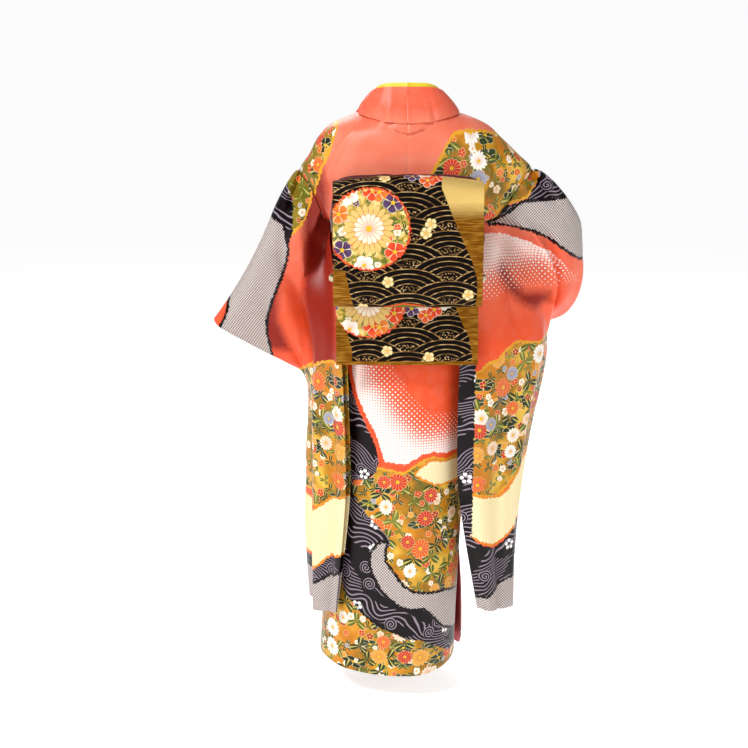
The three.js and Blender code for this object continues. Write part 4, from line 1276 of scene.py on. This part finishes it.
    # the tied cream ground with its orange edge
    fine_dots = dot_distance(tree, cloth, FINE_TIED_DOT, turn=45)
    cream_dot = add(tree, "MapRange", fine_dots, 0.38, 0.52, 1, 0)
    cream = add(tree, "MixRGB", cream_dot, "#ecc873", colours.cream)
    in_rim = add(tree, "MapRange", inside["cream"], -5.5, -4.5)
    dyed = add(tree, "MixRGB", in_rim, dyed, "#e58a1c")
    dyed = add(tree, "MixRGB", add(tree, "MapRange", inside["cream"], -0.5, 0.5), dyed, cream)

    # the dark stream with water lines and plum blossoms
    dark = water_lines(tree, colours.stream, cloth, "#a898a6")
    dark = plum_marks(tree, dark, cloth, cell=92, share=0.75, seed=13, size=14, hue="#fbf7f4")
    in_stream = add(tree, "MapRange", inside["stream"], -0.5, 0.5)
    dyed = add(tree, "MixRGB", in_stream, dyed, dark)

    # the tied grey ground with its dark scalloped edge
    grey_dot = add(tree, "MapRange", fine_dots, 0.34, 0.5, 1, 0)
    grey = add(tree, "MixRGB", grey_dot, "#584a4a", colours.grey)
    scallop = add(tree, "MapRange", fine_dots, 0.1, 0.6, 1.5, -1.5)
    grey_in = add(tree, "Math", inside["grey"], scallop, operation="ADD")
    dyed = add(tree, "MixRGB", add(tree, "MapRange", grey_in, -7.5, -6.5), dyed, colours.stream)
    in_grey = add(tree, "MapRange", grey_in, -0.5, 0.5)
    dyed = add(tree, "MixRGB", in_grey, dyed, grey)
    tree.links.new(dyed, shader.inputs["Base Color"])

    # gloss: the woven figure is a touch smoother than the satin, tied ground is matt
    tied = add(tree, "Math", in_grey, kanoko, operation="MAXIMUM")
    tied = add(tree, "Math", tied, add(tree, "MapRange", inside["cream"], -0.5, 0.5), operation="MAXIMUM")
    gloss = add(tree, "MapRange", woven, 0, 1, 0.33, 0.3)
    gloss = add(tree, "Math", tied, 0.3, gloss, operation="MULTIPLY_ADD")
    tree.links.new(gloss, shader.inputs["Roughness"])
    thread = add(tree, "TexNoise", cloth, None, 1.1, 1.0, 0.6, 2.0, noise_dimensions="2D")
    knots = add(tree, "Math", grey_dot, tied, operation="MULTIPLY")
    pucker = add(tree, "Math", knots, 0.8, thread, operation="MULTIPLY_ADD")
    bump = add(tree, "Bump", 0.22, 0.0006, None, pucker)
    tree.links.new(bump, shader.inputs["Normal"])
    return material


def wave_scales(tree, cloth, wide, flat, rows):
    """Overlapping wave scales: how far each place is from the heart of the scale on top, 0 to 1."""
    scaled = add(tree, "VectorMath", cloth, (2 / wide, 2 / wide / flat, 0), operation="MULTIPLY")
    x_y = add(tree, "SeparateXYZ", scaled).node.outputs
    pitch = 0.5
    row = add(tree, "Math", add(tree, "Math", x_y[1], pitch, operation="DIVIDE"), operation="FLOOR")
    best = 9.0
    for step in range(rows + 1):
        own = add(tree, "Math", row, -step, operation="ADD")
        odd = add(tree, "Math", own, 2.0, operation="FLOORED_MODULO")
        shifted = add(tree, "Math", x_y[0], odd, operation="ADD")
        folded = add(tree, "Math", shifted, 1.0, -1.0, operation="WRAP")
        lift = add(tree, "Math", own, -pitch, x_y[1], operation="MULTIPLY_ADD")
        way = add(tree, "VectorMath", add(tree, "CombineXYZ", folded, lift), operation="LENGTH", out=1)
        inside = add(tree, "Math", way, 1.0, operation="LESS_THAN")
        best = add(tree, "Mix", inside, None, best, way)
    return best


# Flowers of the sash: the small ones on its waves, those at the top of the bow, and those in its
# round motif.
SMALL_BLOSSOMS = [(58, -104), (49, -127), (-47, -227), (-37, -246), (42, -349), (-127, -379)]
SMALL_BLOSSOMS += [(95, -412), (43, -213), (-90, -80)]
TOP_BLOSSOMS = [(-34, -112), (-58, -122), (-9, -120), (-40, -134), (-80, -106)]
TOP_HUES = ["#f4ead2", "#e5502f", "#5c4468", "#e8632f", "#f4ead2"]
ROUND_BLOSSOMS = [(124, -165), (74, -158), (32, -183), (145, -205), (138, -282), (28, -285)]
ROUND_BLOSSOMS += [(92, -314), (28, -130), (60, -160)]
ROUND_HUES = ["#f8efe0", "#e5502f", "#5c4468", "#e8843a", "#5c4468", "#e5502f"]
ROUND_HUES += ["#f8efe0", "#e5502f", "#e8843a"]


def brocade():
    """Sash brocade woven double: a dull black ground with raised gold and copper threads that catch the
    light in short streaks across the width."""
    material, shader = new_material("black_and_gold_brocade", 0.48)
    shader.inputs["Specular IOR Level"].default_value = 0.05
    tree = material.node_tree
    cloth = cloth_place(tree)
    inside = {zone: add(tree, "Attribute", attribute_name=zone, out=2) for zone in SASH_ZONES}

    # wave scales with foam at their hearts, and small flowers on them
    way = wave_scales(tree, cloth, WAVE["wide"], WAVE["flat"], rows=2)
    rings = add(tree, "Math", add(tree, "Math", way, 5.0, operation="MULTIPLY"), operation="FRACT")
    line = add(tree, "MapRange", rings, 0.79, 0.85)
    outer = add(tree, "MapRange", way, 0.36, 0.38)
    line = add(tree, "Math", line, outer, operation="MULTIPLY")
    drawn_out = add(tree, "VectorMath", cloth, (0.03, 0.3, 0), operation="MULTIPLY")
    glint = add(tree, "TexNoise", drawn_out, None, 1, 1.0, 0.5, 2.0, noise_dimensions="2D")
    stops = [(0.3, "#5f442a"), (0.5, "#96713f"), (0.7, "#d3b27c")]
    thread = add(tree, "ValToRGB", glint, ramp=["LINEAR", *stops])
    spots = add(tree, "TexVoronoi", cloth, None, 1 / 5.5, voronoi_dimensions="2D")
    inner = add(tree, "MapRange", way, 0.3, 0.34, 1, 0)
    foam = add(tree, "Math", add(tree, "MapRange", spots, 0.2, 0.34, 1, 0), inner, operation="MULTIPLY")
    drawn = add(tree, "Math", line, foam, operation="MAXIMUM")
    woven = add(tree, "MixRGB", drawn, settings().sash, thread)
    pale = {"hues": ["#f0dca0"], "line": "#8f6f2c"}
    woven = placed_flowers(tree, woven, cloth, SMALL_BLOSSOMS, size=13, petals=5, **pale)
    bright = {"hues": TOP_HUES, "line": "#fbf3e0"}
    woven = placed_flowers(tree, woven, cloth, TOP_BLOSSOMS, size=18, petals=5, **bright)

    # the plain gold stripe, with a painted highlight where it turns over the top of the bow
    stops = [(0.3, "#70420d"), (0.5, "#85540f"), (0.7, "#a5742a")]
    gold = add(tree, "ValToRGB", glint, ramp=["LINEAR", *stops])
    height = add(tree, "SeparateXYZ", add(tree, "TexCoord", out=3), out=2)
    gold = add(tree, "MixRGB", add(tree, "MapRange", height, -0.222, -0.186, 0, 0.85), gold, "#f3cf7c")

    # the round motif: a wide chrysanthemum in a gold field ringed with small flowers
    field = add(tree, "TexNoise", cloth, None, 1 / 20, 2.0, 0.5, 2.0, noise_dimensions="2D")
    stops = [(0.35, "#5f6d2e"), (0.5, "#c9a648"), (0.65, "#ecd489")]
    disc = add(tree, "ValToRGB", field, ramp=["LINEAR", *stops])
    disc = leaves(tree, disc, cloth, cell=26, share=0.9, seed=21, hues=LEAF_HUES)
    mixed = {"hues": ["#e5502f", "#f4ead2", "#5c4468", "#e8843a", "#f7f0df"], "line": "#f6ecc8"}
    disc, _ = blossoms(tree, disc, cloth, cell=22, petals=5, share=0.6, seed=23, **mixed)
    ring = {"hues": ROUND_HUES, "line": "#f6ecc8"}
    disc = placed_flowers(tree, disc, cloth, ROUND_BLOSSOMS, size=22, petals=5, **ring)
    outer = {"hues": ["#e6c273"], "line": "#a8461c"}
    disc = placed_flowers(tree, disc, cloth, ROUND_CENTRES, size=54, petals=22, **outer)
    inner = {"hues": ["#f7ead0"], "line": "#d8452a"}
    disc = placed_flowers(tree, disc, cloth, ROUND_CENTRES, size=33, petals=16, **inner)
    ragged = add(tree, "TexNoise", cloth, None, 1 / 6, 1.0, 0.5, 2.0, noise_dimensions="2D")
    wobble = add(tree, "MapRange", ragged, 0.3, 0.7, -2.4, 2.4)
    wavy = add(tree, "Math", inside["round"], wobble, operation="ADD")
    in_round = add(tree, "MapRange", wavy, -0.5, 0.5)
    edge = add(tree, "MapRange", wavy, 3.6, 4.4, 1, 0)
    disc = add(tree, "MixRGB", edge, disc, "#e2552e")
    woven = add(tree, "MixRGB", in_round, woven, disc)

    # the green field at the foot of the drum, and the stripe over all of them
    lens = add(tree, "MixRGB", add(tree, "MapRange", inside["lens"], 3.6, 4.4, 1, 0), "#7b6a2e", "#e2552e")
    woven = add(tree, "MixRGB", add(tree, "MapRange", inside["lens"], -0.5, 0.5), woven, lens)
    in_stripe = add(tree, "MapRange", inside["stripe"], -0.5, 0.5)
    woven = add(tree, "MixRGB", in_stripe, woven, gold)
    tree.links.new(woven, shader.inputs["Base Color"])

    # metal threads, and the ribs of the weft in relief
    threads = add(tree, "Math", line, in_stripe, operation="MAXIMUM")
    tree.links.new(add(tree, "Math", threads, 0.55, operation="MULTIPLY"), shader.inputs["Metallic"])
    down = add(tree, "VectorMath", cloth, (0, 1, 0), operation="MULTIPLY")
    weft = add(tree, "TexWave", down, 1 / WEFT_RIB, 0.6, 1.0, bands_direction="Y")
    ribs = add(tree, "Math", weft, 0.35, operation="MULTIPLY")
    relief = add(tree, "Math", line, 0.5, ribs, operation="MULTIPLY_ADD")
    tree.links.new(add(tree, "Bump", 0.35, 0.0006, None, relief), shader.inputs["Normal"])
    return material


def plain_cloth(name, hue, roughness, pitch, sheen=0.2, strength=0.3):
    """A plain silk with its own weave: colour that varies softly, and fine threads in relief."""
    material, shader = new_material(name, roughness, sheen=sheen)
    tree = material.node_tree
    cloth = cloth_place(tree)
    cloud = add(tree, "TexNoise", cloth, None, 1 / 40, 2.0, 0.5, 2.0, noise_dimensions="2D")
    deep = add(tree, "MixRGB", 0.35, hue, "#3a1410", blend_type="MULTIPLY")
    varied = add(tree, "MixRGB", add(tree, "MapRange", cloud, 0.35, 0.7, 0, 0.5), hue, deep)
    tree.links.new(varied, shader.inputs["Base Color"])
    grain = add(tree, "TexNoise", cloth, None, 1 / pitch, 2.0, 0.6, 2.0, noise_dimensions="2D")
    tree.links.new(add(tree, "Bump", strength, 0.0008, None, grain), shader.inputs["Normal"])
    return material


def braid():
    """Flat silk braid: slanted strands that cross, ivory with gold."""
    material, shader = new_material("silk_braid", 0.5, sheen=0.2)
    tree = material.node_tree
    cloth = cloth_place(tree)
    slant = add(tree, "VectorMath", cloth, (1 / BRAID_STRAND[0], 1 / BRAID_STRAND[1], 0), operation="MULTIPLY")
    parts = add(tree, "SeparateXYZ", slant).node.outputs
    waves = add(tree, "Math", parts[0], add(tree, "Math", parts[1], operation="ABSOLUTE"), operation="ADD")
    strand = add(tree, "Math", waves, operation="FRACT")
    crest = add(tree, "Math", add(tree, "Math", strand, 0.5, operation="SUBTRACT"), operation="ABSOLUTE")
    colour = add(tree, "MixRGB", add(tree, "MapRange", crest, 0.1, 0.4, 0, 1), settings().cord, "#b68a3a")
    tree.links.new(colour, shader.inputs["Base Color"])
    tree.links.new(add(tree, "Bump", 0.6, 0.0008, None, crest), shader.inputs["Normal"])
    return material


def floor_paint():
    """Matt pale studio paint, very slightly uneven."""
    material, shader = new_material("pale_studio_floor", 0.9)
    shader.inputs["Emission Color"].default_value = linear("#ffffff")
    shader.inputs["Emission Strength"].default_value = 0.7
    tree = material.node_tree
    place = add(tree, "TexCoord", out=3)
    mottle = add(tree, "TexNoise", place, None, 3.0, 3.0)
    paint = add(tree, "MixRGB", add(tree, "MapRange", mottle, 0.4, 0.6, 0, 0.05), "#f4f3f2", "#e2e1df")
    tree.links.new(paint, shader.inputs["Base Color"])
    return material


FINISHES = {
    "silk": kimono_silk,
    "brocade": brocade,
    "lining": lambda: plain_cloth("red_lining_silk", settings().lining, roughness=0.45, pitch=1.2),
    "under_collar": lambda: plain_cloth(
        "yellow_under_collar_silk", settings().under_collar, roughness=0.5, pitch=1.4
    ),
    "crepe": lambda: plain_cloth(
        "maroon_crepe", settings().scarf, roughness=0.7, pitch=2.2, sheen=0.4, strength=0.6
    ),
    "braid": braid,
    "floor": floor_paint,
}
made_finishes = {}


def finish_of(key):
    """The material of that key, made the first time it is asked for."""
    if key not in made_finishes:
        made_finishes[key] = FINISHES[key]()
    return made_finishes[key]


# ---- operators ----
def finish_piece(obj, node, material):
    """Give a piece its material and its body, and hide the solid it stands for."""
    obj.data.materials.append(material)
    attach(obj, "root")
    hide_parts(node)


def finish_sheet(obj, node, material):
    """Finish a piece of cloth."""
    finish_piece(obj, node, material)


SWATCH = {"subtype": "COLOR", "size": 3, "min": 0, "max": 1}


class KimonoSettings(bpy.types.PropertyGroup):
    """Sizes and colours of the kimono"""

    sash_width: FloatProperty(
        name="Sash width",
        description="Width of the drum bow",
        default=SASH["width"] * MM,
        min=0.28,
        max=0.34,
        unit="LENGTH",
    )
    pillow_fill: FloatProperty(
        name="Pillow fill",
        description="How full the bow's pillow is",
        default=0.7,
        min=0,
        max=1,
        subtype="FACTOR",
    )
    coral: FloatVectorProperty(
        name="Coral", description="Ground colour of the kimono", default=linear("#f5582c")[:3], **SWATCH
    )
    gold: FloatVectorProperty(
        name="Gold", description="Gold ground of the flower fields", default=linear("#c98f20")[:3], **SWATCH
    )
    cream: FloatVectorProperty(
        name="Cream", description="Tied cream fields", default=linear("#fff6cf")[:3], **SWATCH
    )
    stream: FloatVectorProperty(
        name="Stream", description="Dark stream", default=linear("#0e0507")[:3], **SWATCH
    )
    grey: FloatVectorProperty(
        name="Grey", description="Tied grey fields", default=linear("#ddd0ca")[:3], **SWATCH
    )
    sash: FloatVectorProperty(
        name="Sash", description="Ground of the sash", default=linear("#0d0807")[:3], **SWATCH
    )
    lining: FloatVectorProperty(
        name="Lining", description="Lining at the hem", default=linear("#d8121c")[:3], **SWATCH
    )
    under_collar: FloatVectorProperty(
        name="Under-collar", description="Layered collar", default=linear("#e6d02a")[:3], **SWATCH
    )
    scarf: FloatVectorProperty(
        name="Scarf", description="Crepe scarf over the pillow", default=linear("#5a0d12")[:3], **SWATCH
    )
    cord: FloatVectorProperty(
        name="Cord", description="Main strands of the braid", default=linear("#efe6d4")[:3], **SWATCH
    )


class KIMONO_OT_body(bpy.types.Operator):
    """Make the two body panels, the two overlap panels and the lining seen at the hem"""

    bl_idname = "kimono.body"
    bl_label = "Body panels"

    def execute(self, context):
        silk = finish_of("silk")
        for side, name in ((1, "left"), (-1, "right")):
            finish_sheet(body_panel(side), f"body_{name}", silk)
            finish_sheet(overlap_panel(side), f"overlap_{name}", silk)
        red = finish_of("lining")
        finish_sheet(hem_lining(), "hem_lining_red", red)
        return {"FINISHED"}


class KIMONO_OT_collars(bpy.types.Operator):
    """Make the collar and the yellow under-collar, each in two halves from the centre back"""

    bl_idname = "kimono.collars"
    bl_label = "Collars"

    def execute(self, context):
        for side, name in ((1, "left"), (-1, "right")):
            outer = collar_half(side, "outer", f"collar_band_{name}", COLLAR_CLOTH, 0)
            finish_sheet(outer, f"collar_{name}", finish_of("silk"))
            inset = COLLAR_CLOTH + LAYER_GAP
            under = collar_half(side, "under", f"under_collar_band_{name}", UNDER_COLLAR_CLOTH, inset)
            yellow = finish_of("under_collar")
            finish_sheet(under, f"under_collar_{name}", yellow)
        return {"FINISHED"}


class KIMONO_OT_sleeves(bpy.types.Operator):
    """Make the two long sleeves"""

    bl_idname = "kimono.sleeves"
    bl_label = "Sleeves"

    def execute(self, context):
        silk = finish_of("silk")
        left = sleeve(1, LEFT_SLEEVE, LEFT_SLEEVE_FOLDS, "long_sleeve_left")
        right = sleeve(-1, RIGHT_SLEEVE, RIGHT_SLEEVE_FOLDS, "long_sleeve_right")
        finish_sheet(left, "sleeve_left", silk)
        finish_sheet(right, "sleeve_right", silk)
        return {"FINISHED"}


class KIMONO_OT_sash(bpy.types.Operator):
    """Make the tuck, the sash round the waist and the drum bow with its hanging tail"""

    bl_idname = "kimono.sash"
    bl_label = "Sash and bow"

    def execute(self, context):
        silk, brocade = finish_of("silk"), finish_of("brocade")
        fall = (TUCK["top"], TUCK["bottom"])
        tuck = band_round("waist_fold", "tuck", fall, rows=26, lift=tuck_lift, thickness=TUCK["cloth"])
        finish_sheet(tuck, "waist_tuck", silk)
        rise = (SASH["bottom"], SASH["top"])
        wrap = band_round("sash_round_waist", "wrap", rise, rows=30, lift=sash_lift, thickness=SASH["cloth"])
        finish_sheet(wrap, "sash_wrap", brocade)
        width = settings().sash_width / MM
        drum = sash_strip("drum_bow", "drum", DRUM, width, bow=9, arch=drum_arch, per_row=8)
        finish_sheet(drum, "sash_drum", brocade)
        tail = sash_strip("hanging_tail", "tail", TAIL, width - 8, bow=10, arch=tail_arch, per_row=12)
        finish_sheet(tail, "sash_tail", brocade)
        return {"FINISHED"}


class KIMONO_OT_trimmings(bpy.types.Operator):
    """Make the bow's pillow, the crepe scarf and the braided cord with its knot"""

    bl_idname = "kimono.trimmings"
    bl_label = "Pillow, scarf and cord"

    def execute(self, context):
        crepe = finish_of("crepe")
        pillow = soft_pad("bow_pad", centre=(0, 172, -160), size=(226, 50, 34))
        finish_piece(pillow, "bow_pillow", crepe)
        gathers = {"thick": 8, "tall": scarf_height, "crumple": crepe_crumple}
        scarf = soft_loop("crepe_scarf", SCARF_ROUTE, steps=400, sides=40, **gathers)
        finish_sheet(scarf, "scarf", crepe)
        even = {"thick": 5, "tall": lambda share: 11.0, "crumple": lambda angle, run: 0.0}
        cord = soft_loop("braided_cord", CORD_ROUTE, steps=500, sides=24, **even)
        finish_piece(cord, "cord", finish_of("braid"))
        knot = soft_pad("tied_knot", centre=(0, -150.6, -358), size=(30, 10, 19), ridges=0.14)
        finish_piece(knot, "cord_knot", finish_of("braid"))
        return {"FINISHED"}


FLOOR = -1.35
LOOKED_AT = Vector((0, 0, -0.6))
LAMPS = {
    "key": ((2.3, 2.2, 2.7), 0.9, 150),
    "fill": ((-2.2, 3.2, 0.7), 1.6, 36),
    "front": ((0.4, -3.2, 1.8), 2.6, 70),
}
SENSOR = 36.0
PICTURE_PIXELS, FOCAL_PIXELS = 748, 1386
CAMERA_PLACE, CAMERA_TILT = (0.0714, 3.08, 0.15), 13.74


class KIMONO_OT_stage(bpy.types.Operator):
    """Make the floor, the lights and the camera"""

    bl_idname = "kimono.stage"
    bl_label = "Floor, lights and camera"

    def execute(self, context):
        bpy.ops.mesh.primitive_plane_add(size=14, location=(0, 0, FLOOR))
        floor = context.object
        floor.name = "studio_floor"
        floor.data.materials.append(finish_of("floor"))
        world = bpy.data.worlds.new("studio")
        context.scene.world = world
        world.use_nodes = True
        tree = world.node_tree
        # the camera sees a white studio, while the light it gives is softer than the lamps
        seen = add(tree, "LightPath")
        strength = add(tree, "MapRange", seen, 0, 1, 0.26, 0.97)
        tree.links.new(strength, tree.nodes["Background"].inputs["Strength"])
        tree.nodes["Background"].inputs["Color"].default_value = linear("#ffffff")
        context.scene.view_settings.view_transform = "Standard"
        for name, (place, size, power) in LAMPS.items():
            light = bpy.data.lights.new(name, "AREA")
            light.energy = power
            light.size = size
            lamp = bpy.data.objects.new(name, light)
            lamp.location = place
            lamp.rotation_euler = (LOOKED_AT - lamp.location).to_track_quat("-Z", "Y").to_euler()
            context.scene.collection.objects.link(lamp)
        camera_data = bpy.data.cameras.new("camera")
        camera_data.sensor_width = SENSOR
        camera_data.lens = FOCAL_PIXELS / PICTURE_PIXELS * SENSOR
        camera = bpy.data.objects.new("camera", camera_data)
        camera.location = CAMERA_PLACE
        camera.rotation_euler = (math.radians(90 - CAMERA_TILT), 0, math.radians(180))
        context.scene.collection.objects.link(camera)
        context.scene.camera = camera
        return {"FINISHED"}


class KIMONO_PT_panel(bpy.types.Panel):
    """Lists the pieces of the kimono and its sizes and colours"""

    bl_idname = "KIMONO_PT_panel"
    bl_label = "Kimono"
    bl_space_type = "VIEW_3D"
    bl_region_type = "UI"
    bl_category = "Kimono"

    def draw(self, context):
        for operator in OPERATORS:
            self.layout.operator(operator.bl_idname)
        for name in KimonoSettings.__annotations__:
            self.layout.prop(context.scene.kimono_settings, name)


OPERATORS = (
    KIMONO_OT_body,
    KIMONO_OT_collars,
    KIMONO_OT_sleeves,
    KIMONO_OT_sash,
    KIMONO_OT_trimmings,
    KIMONO_OT_stage,
)
CLASSES = (KimonoSettings,) + OPERATORS + (KIMONO_PT_panel,)


def register():
    for cls in CLASSES:
        bpy.utils.register_class(cls)
    bpy.types.Scene.kimono_settings = PointerProperty(type=KimonoSettings)


def unregister():
    del bpy.types.Scene.kimono_settings
    for cls in reversed(CLASSES):
        bpy.utils.unregister_class(cls)


def main():
    """Make every piece and the stage."""
    register()
    bpy.ops.object.select_all(action="DESELECT")
    bpy.ops.kimono.body()
    bpy.ops.kimono.collars()
    bpy.ops.kimono.sleeves()
    bpy.ops.kimono.sash()
    bpy.ops.kimono.trimmings()
    bpy.ops.kimono.stage()


if __name__ == "__main__":
    main()
